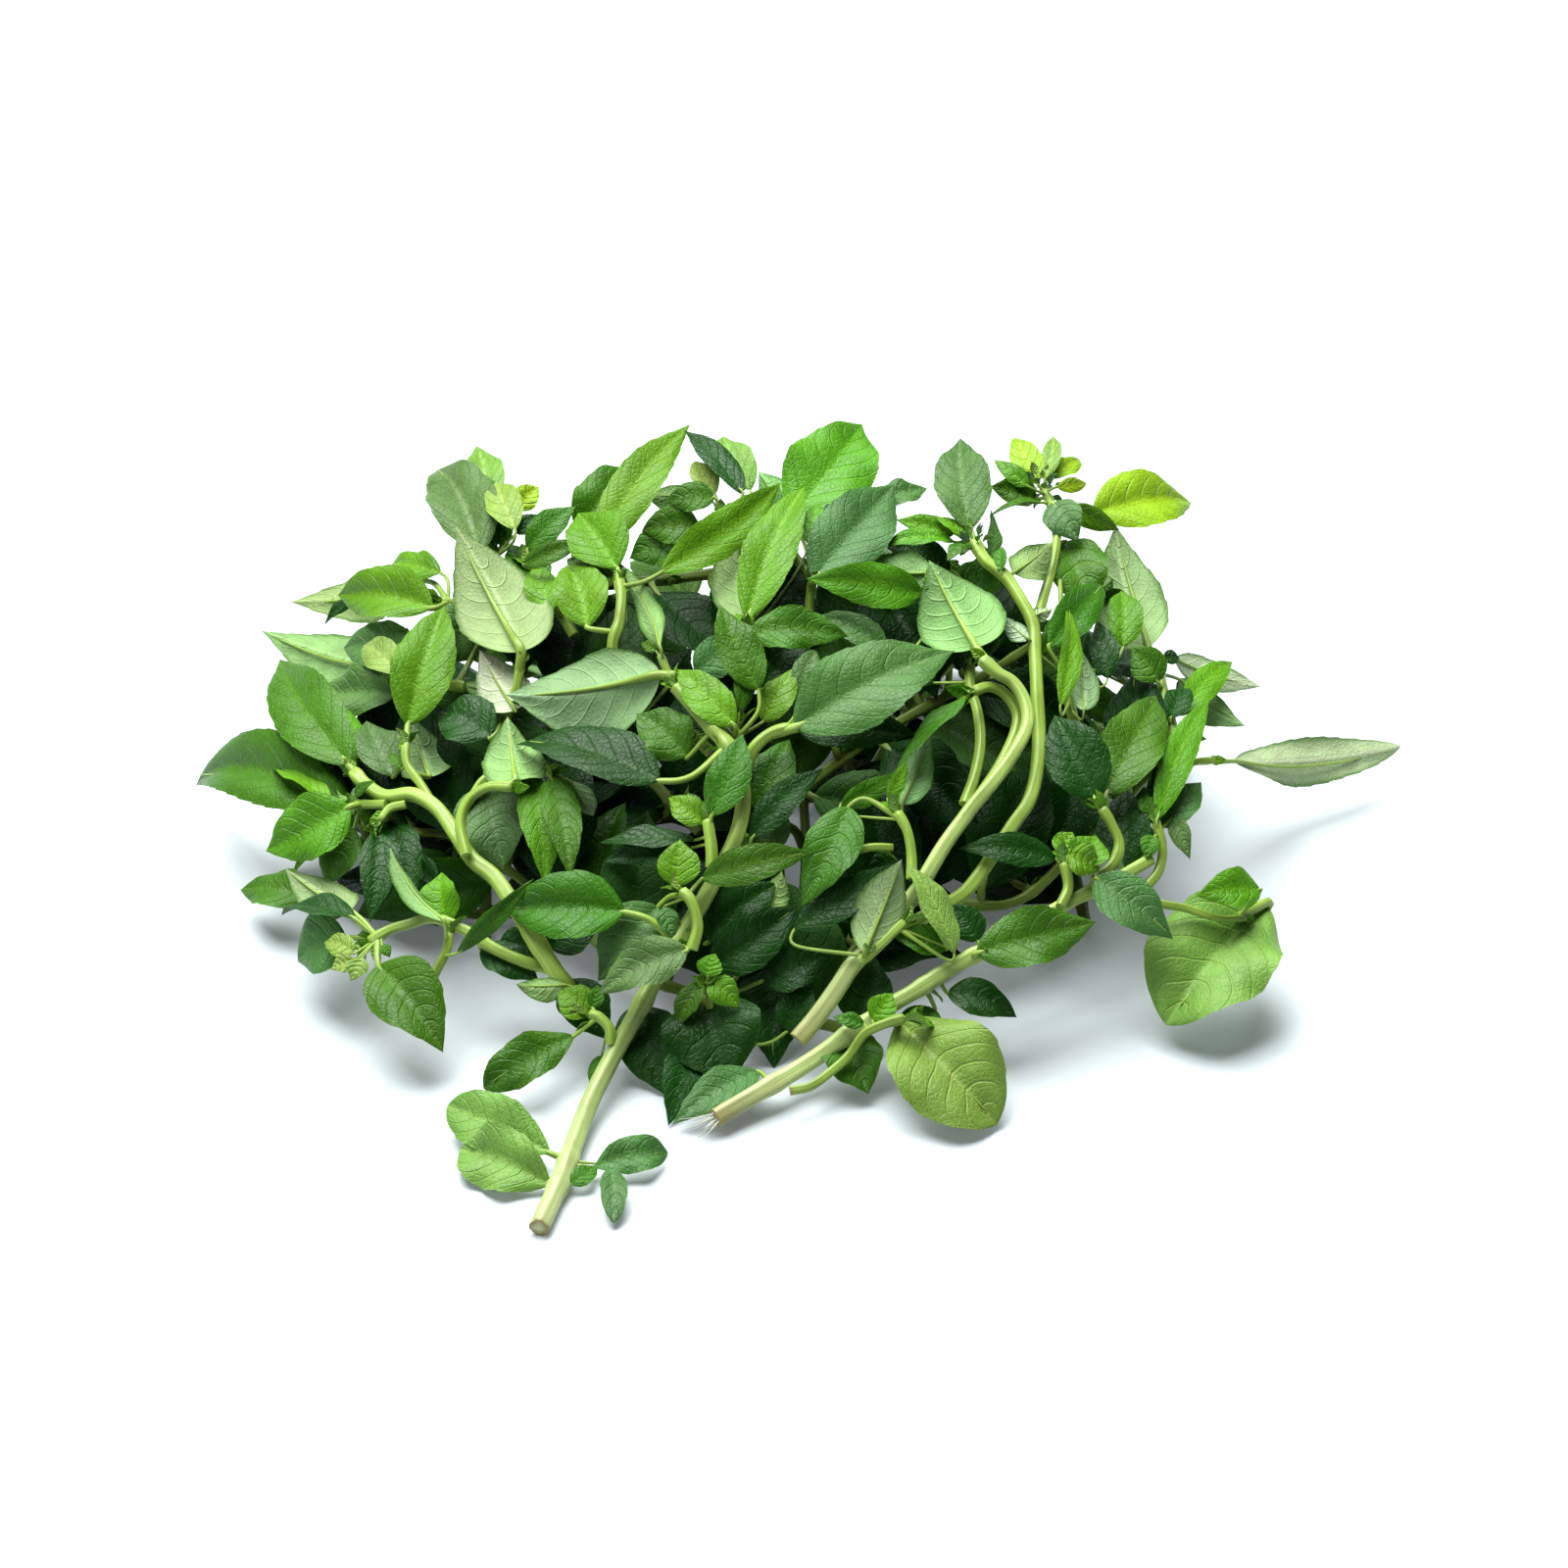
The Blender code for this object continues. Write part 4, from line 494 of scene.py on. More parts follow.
        (-9, 85, -4, 113, 10, 8, MID), (-12, 74, 14, 74, 11, 5, MID), (-8, 60, 2, 76, 14, 12, DARK),
        (-6, 80, 4, 94, 12, 14, DARK), (4, 97, 6, 108, 6, 7, BRIGHT)]),
    "shoot_top_right": dict(radii=(1.4, 0.9), stalk=[(4, 72, 20), (4, 82, 14), (5, 90, 9)], leaves=[
        (5, 88, 25.5, 112.5, 18, 5, GREY), (0, 104.5, 17.5, 128.5, 22, 6, BRIGHT),
        (0, 103, -9, 116, 13, 11, PALE), (21, 108, 34, 111.5, 8, 7, GREY), (9, 102, 14, 109, 7, 10, DARK)]),
    "shoot_curled_top": dict(radii=(1.3, 1.0), stalk=[(42, 76, 10), (39, 80, 6), (36, 84, 2)], leaves=[
        (33, 84.5, 3, 88.5, 11, 0, BRIGHT, -15), (36, 90, 16, 91, 11, 5, PALE),
        (24, 70, 5, 79, 8, 3, GREY), (40, 88, 56, 88, 9, 6, MID), (40, 91, 23, 97, 8, 10, DARK)]),
    "leaf_centre": dict(radii=(1.7, 1.3), stalk=[(-12, 41, 0), (-10, 45.5, -2), (-6, 49, -3),
        (-1, 50.5, -4)],
        leaves=[
        (0, 50.5, 41, 70, 21, -5, GREY), (1, 50, 31, 49, 12, 4, DARK), (2, 58, 6, 71, 7, 5, GREY)]),
    "shoot_centre": dict(radii=(1.5, 0.9), stalk=[(-14, 42, 2), (-14.5, 46, 1), (-14.5, 50, 0)], leaves=[
        (-15, 51, -30, 66, 10, -2, BRIGHT), (-14, 54, -13, 72, 6, -1, MID, 35),
        (-8, 52, 0, 66, 8, 4, BRIGHT), (-9, 60, -19, 82, 11, 4, MID), (-25, 64, -12, 72, 10, 9, GREY)]),
    "stub_broken": dict(radii=(1.6, 1.6), stalk=[(-21, 44, 3), (-27, 49.5, 1), (-35, 53.5, 1)], leaves=[
        (-34, 48, -40, 40, 7, 10, DARK)]),
    "shoot_front_small": dict(radii=(1.5, 1.1), stalk=[(-26, -6, -4), (-24.5, 0, -4), (-26, 6, -5),
        (-28.5, 9, -5)],
        leaves=[
        (-29.5, 10, -29, 22, 10, -5, BRIGHT), (-23.5, 12, 5, 19, 9, -5, MID, 10),
        (-34.5, 5, -50, -14, 15, -2, GREY), (-33, 5, -31, -3, 5, -1, GREY)]),
    "shoot_front_upper": dict(radii=(1.5, 1.1), stalk=[
        (-21, 15, -2), (-21, 20, -3), (-22, 27, -4)], leaves=[
        (-21, 28, -13, 49, 10, -5, MID), (-23, 26, -32, 33, 7, -3, BRIGHT), (-24, 27, -27, 34, 5, -1, MID),
        (-25, 22, -50, 21.5, 7, 1, DARK, 25), (-26, 20, -49, 16, 7, 3, DARK)]),
    "shoot_inner_mid": dict(radii=(1.4, 0.9), stalk=[(-8, 4, 12), (-11, 12, 8), (-12, 20, 6)], leaves=[
        (-11, 22, 7.5, 40, 8, 2, DARK), (-8, 28, -1, 48, 11, 6, MID), (-22, -4, -4, 11, 13, 4, DARK),
        (-3, 20, -10, 30, 9, 12, GREY), (-6, 4, -3, 14, 7, 6, PALE)]),
    "shoot_inner_right": dict(radii=(1.3, 1.0), stalk=[(30, 12, -1), (30, 18, -1), (29, 24, -2),
        (26.5, 29, -3)],
        leaves=[
        (14, 30.5, 2, 5, 13, -1, MID), (24, 32, 29, 42.5, 4, -4, BRIGHT, 20),
        (27.5, 31, 35, 49, 10, 0, PALE),
        (12, 31, 25.5, 39, 6, 1, MID, 30)]),
    "stalk_bowed": dict(radii=(1.1, 1.0), stalk=[(5, 6, 2), (8.5, 13, 0), (13, 18, -1), (19, 20, -1),
        (25, 20, 1)],
        leaves=[(26, 17, 19, 13, 6, 5, DARK)]),
    "shoot_right_front": dict(radii=(1.2, 1.0), stalk=[(17, -9, 0), (22, -5, -1), (28, 1, -1)], leaves=[
        (18, -7, 27.5, 17, 12, -4, PALE), (41, -7, 29, 16.5, 9, -4, YOUNG, 30),
        (39, -6, 25, -2.5, 7, -1, MID),
        (0, -1, 26, 16, 9, 2, DARK)]),
    "shoot_dark_front": dict(radii=(1.3, 0.9), stalk=[(-20, -34, 12), (-21, -24, 6),
        (-21.5, -17, 1)], leaves=[
        (-24, -18, -17, -41, 23, 5, DARK), (-22, -14, -14, -21, 7, -1, BRIGHT),
        (-23, -14, -30, -26, 6, 0, MID, 20),
        (-22, -13, -20, -7, 6, -2, BRIGHT), (-21, -11, 1, 5, 13, 2, DARK), (-8, -14, 8, -7, 11, 5, DARK),
        (-25, -30, -32, -51, 10, 3, DARK), (-2, -27, 5, -14, 9, 6, DARK),
        (-7, -11, -5, -36, 15, 9, DARK)]),
    "shoot_foot": dict(radii=(1.3, 1.0), stalk=[(-46.5, -30, -1), (-47, -26, -2), (-50, -23, -2),
        (-52, -22.5, -2)],
        leaves=[
        (-56, -28, -79, -41, 11, -1, MID, 0, 0, 1), (-52, -23, -60, -16, 9, -1, BRIGHT),
        (-51, -21, -50, -15, 4, -1, MID),
        (-58, -15, -71, -15, 6, 2, PALE), (-49, -33, -52, -41, 4, 0, MID, 30)]),
    "branch_right_foot": dict(radii=(1.2, 1.1), stalk=[(-1, -42, 0), (4, -41, 0), (9, -37.5, 0),
        (14, -33, 0),
        (18, -27.5, -1), (23, -25, -2), (28, -23.5, -3)], leaves=[
        (26.5, -24, 51.5, -50, 25, 1, YOUNG, 0, 0, 1), (20, -24, 25, -17, 7, -3, BRIGHT),
        (18, -25, 10, -23, 4, -1, MID)]),
    "shoot_round": dict(radii=(1.4, 1.1), stalk=[(68, 5, -3), (70, 10, -3), (69, 16, -4)], leaves=[
        (73, 15, 77, 23, 10, -4, BRIGHT), (70, 18, 78, 14, 8, -6, BRIGHT), (69, 18, 71, 24, 7, -3, BRIGHT),
        (67, 17, 42, 20, 8, -2, DARK)]),
    "shoot_pair_right": dict(radii=(1.5, 1.1), stalk=[(77, 12, 0), (81.5, 16, -1), (83, 21, -2),
        (81, 26, -3),
        (78.5, 30, -4)], leaves=[
        (77, 32, 66.5, 54, 15, -4, DARK), (79.5, 33, 92.5, 59.5, 15, -5, MID), (79, 34, 77, 40, 5, -1, MID),
        (84, 14, 85, 35, 13, 6, DARK)]),
    "shoot_far_right_low": dict(radii=(1.3, 1.0), stalk=[(89, 9, 0), (93, 14, -1), (94, 20, -2),
        (92.5, 26, -3)],
        leaves=[
        (92.5, 27, 106, 58, 8, -3, BRIGHT, 16), (92, 29, 96, 43, 8, 0, DARK), (94, 25, 104, 37, 8, 2, GREY),
        (92, 23, 90, 17, 5, -2, MID), (97, 28, 101, 17, 5, 1, GREY), (91, 28, 89, 34, 4, -1, MID)]),
    "leaf_curled_right": dict(radii=(1.3, 0.8), stalk=[(82, 9.5, 1), (92, 6, 0), (100, 4.5, 0), (108, 2, 0),
        (115, 2, 2)], leaves=[
        (121, 5, 95.5, -24, 29, 6, YOUNG, 0, 0, 1), (119, 9, 103, 8, 10, -6, BRIGHT)]),
    "leaf_far_right": dict(radii=(1.0, 0.8), stalk=[(98.5, 38, 5), (101.5, 41.5, 4),
        (107, 42.2, 3)], leaves=[
        (112, 42, 153, 44.5, 12, 12, SILVER, 0, -4, 1)]),
    "shoot_right_upper": dict(radii=(1.4, 0.9), stalk=[(72, 50, 14), (70, 58, 9), (69, 66, 6)], leaves=[
        (69, 98, 76, 80, 16, 6, MID), (65, 71, 79.5, 88, 10, 1, MID, 15), (84, 71, 83.5, 86, 9, 5, BRIGHT),
        (80, 63, 77, 78, 7, 4, DARK), (68, 56, 70, 83, 6, -3, BRIGHT, 30),
        (63, 69, 69.5, 82, 5, 0, MID, 30), (74, 55, 73, 70.5, 7, -3, PALE)]),
}

# Branches deep in the heap, seen only through the gaps: each runs between board places, well behind.
DEEP_STALKS = (
    ((12, -26, 12), (-14, -20, 14), (-40, -12, 14), (-62, 6, 20), (-88, 23, 22), (-114, 21, 12)),
    ((-24, 24, 30), (-44, 44, 26), (-76, 66, 22), (-98, 74, 16)),
    ((10, -12, 18), (30, 6, 24), (56, 6, 16), (76, 24, 20), (98, 46, 16)),
    ((-4, 30, 30), (20, 48, 28), (52, 66, 24), (78, 84, 18)),
    ((-72, 85, 24), (-36, 88, 22), (1, 92, 23), (38, 92, 20)))
# The outline, on the board, that leaves of the inside and the far side stay within.
OUTLINE = (
    (-126, -2), (-132, 28), (-130, 70), (-94, 94), (-86, 114), (-66, 108), (-58, 100), (-46, 112),
    (-32, 112), (-20, 118), (-8, 114), (18, 118), (26, 104), (36, 104), (46, 110), (56, 98), (80, 92),
    (91, 86), (91, 70), (100, 58), (99, 24), (90, 12), (70, 0), (52, -12), (40, -20), (16, -34), (-30, -44),
    (-46, -36), (-58, -22), (-76, -11), (-88, -2), (-104, 4))
SEED = 11
DEEP_LEAF = 36.0
DEEP_WIDTH = 19.0
DEEP_PITCH = 13.0
DEEP_RADII = (1.5, 1.0)
DEEP_LAYER = 9
SPRAY_ANGLE = math.radians(58)

# The leaves that lie all but flat under the heap, in pairs along stalks that run from front to back.
BED_PLACES = ((-78, -10), (0, -34), (74, -4))
BED_PITCH = 26.0
BED_PAIRS = 5
BED_LEAF = 40.0
BED_WIDTH = 30.0
BED_HEIGHT = 3.0
BED_RADII = (1.5, 1.0)
BED_STALKS = search_order({0: 0, 3: 1, 6: 2, 10: 3, 15: 4, 22: 5}, {0: 0, 4: 0.5, 10: 1.5, 18: 3})
BED_POSES = search_order({0: 0, 4: 1, 9: 2, 15: 3, 22: 4}, {0: 0, 12: 1, -12: 1.1, 24: 2.2, -24: 2.3},
                         {0: 0, 14: 1.2, -14: 1.3})

# The heap's far side, turned away from the board: an oval mound whose leaves hang outwards and down.
MOUND_CENTRE = np.array([0.0, 25.0, 0.0])
MOUND_REACH = np.array([128.0, 106.0, 88.0])
MOUND_SECTORS = (20, 55, 90, 125, 160)
MOUND_RISES = (64, 46, 30, 15, 3)
MOUND_POSES = search_order({0: 0, 6: 1, -6: 1.2, 12: 2.5}, {0: 0, -0.06: 0.8, 0.04: 1, -0.12: 2, -0.2: 3},
                           {0: 0, 16: 1.1, -16: 1.2, 32: 3, -32: 3.1})[:80]
HANGING = 24.0
SWING = 16.0
FAR_ROUTE = ((30, 0.3), (36, 0.5), (34, 0.7))
FAR_RADII = (1.6, 1.1)
FAR_WIDTHS = (15, 20)
FAR_STALKS = search_order({0: 0, 4: 1, -4: 1.1, 8: 2, 12: 3, -8: 3.1, 18: 4}, {0: 0, 3: 0.5, 8: 1, 14: 2})


def spray_rows(points, rng):
    """Rows of leaves in pairs along a stalk on the board, one to each side, in two layers by turns."""
    points = np.array(points, float)
    steps = np.linalg.norm(np.diff(points[:, :2], axis=0), axis=1)
    shares = np.concatenate([[0], np.cumsum(steps)]) / steps.sum()
    pairs = round(steps.sum() / DEEP_PITCH)
    rows = []
    for pair in range(pairs):
        share = (pair + 0.5) / pairs
        a, b, d = (np.interp(share, shares, points[:, i]) for i in range(3))
        ahead = [np.interp(share + 0.1, shares, points[:, i]) for i in range(2)]
        heading = math.atan2(ahead[1] - b, ahead[0] - a)
        for side in (-1, 1):
            angle = heading + side * SPRAY_ANGLE + rng.uniform(-0.35, 0.35)
            size = rng.uniform(0.8, 1.1)
            step = np.array([math.cos(angle), math.sin(angle)])
            base = np.array([a, b]) + 4 * step
            tip = base + DEEP_LEAF * size * step
            # Mostly dark: the leaves' own deep green with painted shade, deep in the heap.
            look = rng.choice((DARK, DARK, MID, GREY))
            depth = d - 4 + DEEP_LAYER * ((pair + (side > 0)) % 2)
            rows.append((*base, *tip, DEEP_WIDTH * size, depth, look, rng.uniform(-25, 25)))
    return rows


def bed_poses(base, tip):
    """The poses that a leaf of the bed may take: lifted, rolled and swung about its base."""
    for lift, roll, swing in BED_POSES:
        reach = turned(tip - base, UP, swing)
        yield base + lift * UP, base + reach + 0.7 * lift * UP, turned(UP, unit(reach), roll)


def grow_bed(heap, name, across, front, rng):
    """One branch of the bed: a stalk low on the table and its pairs of wide dark leaves."""
    length = BED_PITCH * BED_PAIRS
    bowed = across + rng.uniform(-5, 5)
    points = np.array([(across, front, BED_HEIGHT), (bowed, front + length / 2, BED_HEIGHT),
                       (across, front + length, BED_HEIGHT)])

    def sprigs(path):
        """Leaves to the left and the right of the stalk by turns."""
        for number in range(2 * BED_PAIRS):
            side = 1 if number % 2 else -1
            along = front + BED_PITCH * (number // 2 + 0.4)
            base = np.array([across + 4 * side, along, path[:, 2].mean() + 0.5])
            tip = base + (side * BED_LEAF, rng.uniform(2, 14), -1.0)
            # Dark leaves: their own deep green with painted shade under the heap.
            yield bed_poses(base, tip), BED_WIDTH * rng.uniform(0.85, 1.1), DARK

    routes = ((points + lift * UP, trim) for lift, trim in BED_STALKS)
    return grow_along(heap, name, routes, BED_RADII, sprigs)


def mound_point(turn, rise, share=1.0):
    """A point of the mound at a turn and a rise in degrees, at a share of its reach from the centre."""
    turn, rise = math.radians(turn), math.radians(rise)
    out = np.array([math.cos(turn) * math.cos(rise), math.sin(turn) * math.cos(rise), math.sin(rise)])
    return MOUND_CENTRE + share * MOUND_REACH * out


def mound_poses(turn, rise, swing, rng):
    """The poses that a leaf on the heap's far side may take: it hangs outwards and to one side."""
    spread = rng.uniform(-5, 5)
    for more_rise, more_share, roll in MOUND_POSES:
        base = mound_point(turn + 0.25 * swing, rise + more_rise, 0.78 + more_share)
        tip = mound_point(turn + swing + spread, rise + more_rise - HANGING, 1.0 + more_share)
        tip[2] = max(tip[2], FLOOR_GAP)
        out = unit((0.5 * (base + tip) - MOUND_CENTRE) / MOUND_REACH)
        yield base, tip, turned(unit(out + 0.3 * UP), unit(tip - base), roll)


def grow_far_side(heap, name, turn, rng):
    """One branch of the heap's far side: a stalk from deep inside to under its leaves, and the leaves."""
    points = np.array([mound_point(turn, rise, share) for rise, share in FAR_ROUTE])

    def sprigs(path):
        """Leaves to either side of the branch's turn at each rise."""
        for rise in MOUND_RISES:
            for swing in (-SWING, SWING):
                look = rng.choice((BRIGHT, MID, MID, DARK, GREY, PALE))
                yield mound_poses(turn, rise, swing, rng), rng.uniform(*FAR_WIDTHS), look

    routes = ((points + lift * UP, trim) for lift, trim in FAR_STALKS)
    return grow_along(heap, name, routes, FAR_RADII, sprigs)


def grow_bunch():
    """Every branch of the bunch, front to back."""
    heap = Heap()
    grown = [grow_branch(heap, name, branch) for name, branch in PLAN.items()]
    rng = random.Random(SEED)
    for number, points in enumerate(DEEP_STALKS, 1):
        branch = dict(radii=DEEP_RADII, stalk=points, leaves=spray_rows(points, rng))
        grown.append(grow_branch(heap, f"shoot_deep_{number}", branch, True))
    for number, (across, front) in enumerate(BED_PLACES, 1):
        grown.append(grow_bed(heap, f"shoot_bed_{number}", across, front, rng))
    for number, turn in enumerate(MOUND_SECTORS, 1):
        grown.append(grow_far_side(heap, f"shoot_back_{number}", turn, rng))
    return [branch for branch in grown if branch is not None]


def footprint_middle(branches):
    """The middle of the bunch's box, at the table's height."""
    shapes = [leaf_solid(leaf)[0] for branch in branches for leaf in branch["leaves"]]
    points = np.vstack(shapes + [branch["path"] for branch in branches])
    return 0.5 * (points.min(0) + points.max(0)) * (1, 1, 0)


def centred(branches, middle):
    """The branches moved along the table so that the middle of their box is over the origin."""
    for branch in branches:
        branch.update({key: branch[key] - middle for key in ("whole", "path")})
        for leaf in branch["leaves"]:
            leaf.update({key: leaf[key] - middle for key in ("start", "lead", "base")})
    return branches


# Fine leaf blades, in millimetres: rows along the blade and columns across it for each millimetre of size.
ROWS_PER_MM = 1.0
COLUMNS_PER_MM = 0.36
BLADE_HALF_THICK = 0.16
LATERAL_VEINS = 7
TOOTH_PITCH = 5.5
TOOTH_HEIGHT = 0.45
QUILT = 0.016
FULLNESS = 1.1
LONG_LEAF = 24.0
RIB_SHARES = (0.1, 0.3, 0.5, 0.7, 0.9)

# How leaves differ, each as a range: curl and sickle as shares of the length, twist in degrees, how high a
# blade is crowned and how much it tilts, and the height and the number of the waves along its edge.
CURL = (-0.15, 0.4)
CURL_FROM = 0.6
SICKLE = 0.05
TWIST = 30
UNTWISTED = 0.3
CROWN = (0.5, 1.5)
TILT = 0.1
WAVES = (0.06, 0.2)
WAVE_COUNT = (1.2, 2.2)
CHANNEL_WIDTH = 0.063
CHANNEL_SOFTNESS = 0.004

# Leaf colours, as sRGB hex: what shows of the top, and of the underside, for each look. Dark is the leaf's
# own deep green with painted shade, grey is the leaf's green under a painted grey sheen, and lime is the
# young leaves' own yellow-green with painted light shining through them.
TOP_TONES = {LIME: "7BA31A", YOUNG: "6A903C", BRIGHT: "4D8213", MID: "356410", DARK: "123C08",
             GREY: "446C34", PALE: "38641A", SILVER: "446C34"}
UNDER_TONES = {LIME: "86A93C", YOUNG: "6F9540", BRIGHT: "638A3C", MID: "597C36", DARK: "3C6030",
               GREY: "5C7E4C", PALE: "759B60", SILVER: "9CB28E"}
TONE_SHIFTS = ((0.86, 1.2), (0.92, 1.1), (0.8, 1.1))
SHADE_TINT = (0.75, 1, 0.6)
BASE_TONE = 1.12
TIP_TONE = 0.92
STALK_TONE = "8CAB46"
STALK_FOOT_TONE = "B9C88C"
STALK_OLD_TONE = "8E7A45"
CUT_TONE = "C9D3A0"
FIBRE_TONE = "E4E8D8"


def linear(code):
    """An sRGB hex colour as linear red, green and blue."""
    value = np.array([int(code[i:i + 2], 16) / 255 for i in (0, 2, 4)])
    return np.where(value <= 0.04045, value / 12.92, ((value + 0.055) / 1.055) ** 2.4)


def skin(rings, first, last):
    """Points and faces of rings joined into a closed skin that faces out and ends in the two poles."""
    count, around = rings.shape[:2]
    points = np.vstack([rings.reshape(-1, 3), first, last])
    i, j = np.meshgrid(np.arange(count - 1), np.arange(around), indexing="ij")
    k = (j + 1) % around
    quads = np.stack([i * around + j, (i + 1) * around + j, (i + 1) * around + k, i * around + k], -1)
    j = np.arange(around)
    k = (j + 1) % around
    pole, end = count * around, (count - 1) * around
    first_cap = np.stack([j * 0 + pole, j, k], -1)
    caps = np.vstack([first_cap, np.stack([j * 0 + pole + 1, end + k, end + j], -1)])
    quads = quads.reshape(-1, 4)
    corners = points[quads] - points.mean(0)
    if np.einsum("ij,ij->", corners[:, 0], np.cross(corners[:, 1], corners[:, 2])) < 0:
        quads, caps = quads[:, ::-1], caps[:, ::-1]
    return points, quads, caps


def frames(path, side):
    """Unit vectors along a path, across it, square to the side vectors given, and over it."""
    along = np.gradient(path, axis=0)
    along /= np.linalg.norm(along, axis=1)[:, None]
    across = np.cross(side, along)
    across /= np.linalg.norm(across, axis=1)[:, None]
    return along, across, np.cross(along, across)


def carried_frames(path):
    """Unit vectors along a path and across it, the across vector carried along with the least twist."""
    along = np.gradient(path, axis=0)
    along /= np.linalg.norm(along, axis=1)[:, None]
    across = unit(np.cross(along[0], UP + 0.01))
    rows = []
    for step in along:
        across = unit(across - step * np.dot(across, step))
        rows.append(across)
    across = np.array(rows)
    return along, across, np.cross(along, across)


def blade_spine(leaf, u, rng):
    """The leaf's midrib at shares u, bent sideways as half a sine, with its tip curled under or back by the
    square of the way past CURL_FROM; with unit vectors along it, across it and over it, twisted evenly."""
    curl = rng.uniform(*CURL) * leaf["length"]
    sickle = rng.uniform(-SICKLE, SICKLE) * leaf["length"]
    spine = leaf_midrib(leaf, u[:, 0]) - curl * np.maximum(u - CURL_FROM, 0) ** 2 * leaf["top"]
    spine = spine + sickle * np.sin(math.pi * u) * np.cross(unit(leaf["chord"]), leaf["top"])
    along, across, over = frames(spine, leaf["top"])
    twist = math.radians(rng.uniform(-TWIST, TWIST)) * (u - UNTWISTED)
    cosine, sine = np.cos(twist), np.sin(twist)
    return spine, along, across * cosine + over * sine, over * cosine - across * sine


def saw_teeth(leaf, u, side):
    """How far the edge's forward teeth stand out: a saw, faded out towards the blade's base and its tip."""
    tooth = np.mod(u * max(3, round(leaf["length"] / TOOTH_PITCH)) + 0.2 * side, 1.0) - 0.5
    fade = np.clip(8 * (u - 0.16), 0, 1) * np.clip(9 * (0.97 - u), 0, 1)
    return TOOTH_HEIGHT * min(1, leaf["width"] / 14) * tooth * fade


def blade_height(leaf, half, u, v, phase, rng):
    """The blade's height over its spine: each half crowned as h (0.62 v - 0.36 v^2), for v from the midrib
    to the edge and half width h, so that the midrib lies in a channel; waves that grow towards the edge as
    v^2.5; and pillows that swell between the lateral veins as the square of a sine."""
    side, reach = np.sign(v), np.abs(v)
    soft = np.sqrt(v**2 + CHANNEL_SOFTNESS) - CHANNEL_WIDTH
    height = half * rng.uniform(*CROWN) * (0.62 * soft - 0.36 * v**2) + half * rng.uniform(-TILT, TILT) * v
    waves = rng.uniform(*WAVES) * half * reach**2.5
    phase_of_waves = rng.uniform(*WAVE_COUNT) * u + rng.uniform(0, 1) + 0.37 * side
    height = height + waves * np.sin(2 * math.pi * phase_of_waves)
    pillow = np.sin(math.pi * phase) ** 2 * reach**0.8 * (1 - reach) * 2.4
    return height + QUILT * leaf["width"] * pillow * np.clip(6 * u, 0, 1) * np.clip(5 * (1 - u), 0, 1)


def blade(leaf, rng):
    """A fine leaf blade: rows of points across its spine, at shares v of the half width, set off by the
    blade's height, with saw teeth at the edge. The skin is thickest at the midrib, closes at both edges,
    and stays on or above the table."""
    length, width = leaf["length"], leaf["width"]
    rows = int(np.clip(length * ROWS_PER_MM, 9, 58))
    half_columns = int(np.clip(width * COLUMNS_PER_MM, 3, 9))
    upper = np.linspace(-1, 1, 2 * half_columns + 1)
    v = np.concatenate([upper, upper[::-1][1:-1]])[None, :]
    face = np.concatenate([np.ones(upper.size), -np.ones(upper.size - 2)])[None, :]
    u = np.linspace(0.5 / rows, 1 - 0.4 / rows, rows)[:, None]
    reach = np.abs(v)

    spine, along, across, over = blade_spine(leaf, u, rng)
    half = FULLNESS * leaf_half_width(leaf, u)
    lateral = (half + saw_teeth(leaf, u, np.sign(v)) * reach**6) * v * 0.96
    veins = LATERAL_VEINS if length > LONG_LEAF else LATERAL_VEINS - 2
    phase = veins * (u - 0.16 * reach - 0.12 * reach**3) + 0.22 * np.clip(5 * v, -1, 1)
    height = blade_height(leaf, half, u, v, phase, rng) + BLADE_HALF_THICK * face * (1 - reach**4)
    points = spine[:, None] + lateral[..., None] * across[:, None] + height[..., None] * over[:, None]
    points[..., 2] = np.maximum(points[..., 2], BLADE_HALF_THICK * (1.5 + face * (1 - reach**4)))
    tip = spine[-1] + (spine[-1] - spine[-2]) * 0.5
    tip[2] = max(tip[2], BLADE_HALF_THICK)

    points, quads, caps = skin(points, spine[0] - along[0] * 0.3, tip)
    underneath = np.arange(v.size) >= upper.size - 1
    return dict(points=points, quads=quads, caps=caps, under=np.tile(underneath, rows + 1),
                veins=blade_marks(phase, length / veins, lateral), tone=blade_tones(leaf, u, face, rng))


def blade_marks(phase, pitch, lateral):
    """For each point of a blade: the lateral veins passed, their pitch, and how far off the midrib."""
    marks = np.stack([phase, np.full(phase.shape, pitch), np.broadcast_to(lateral, phase.shape)], -1)
    return np.vstack([marks.reshape(-1, 3), [phase[0, 0], pitch, 0], [phase[-1, 0], pitch, 0]])


def blade_tones(leaf, u, face, rng):
    """The colour of each point of a blade: one for its top and one for its underside, paler to the base,
    darkened by painted shade on shaded branches.
    """
    shift = np.array([rng.uniform(*span) for span in TONE_SHIFTS])
    # Painted shade: the leaves of a branch deep in the heap or under it are darkened and tinted greener.
    if leaf["shade"] < 1:
        shift = shift * leaf["shade"] * SHADE_TINT
    top = linear(TOP_TONES[leaf["look"]]) * shift
    under = linear(UNDER_TONES[leaf["look"]]) * shift
    tone = np.where(face[..., None] > 0, top, under) * (BASE_TONE - (BASE_TONE - TIP_TONE) * u[..., None])
    tone = np.broadcast_to(tone, (u.shape[0], face.shape[1], 3)).reshape(-1, 3)
    return np.vstack([tone, top * BASE_TONE, top * TIP_TONE])


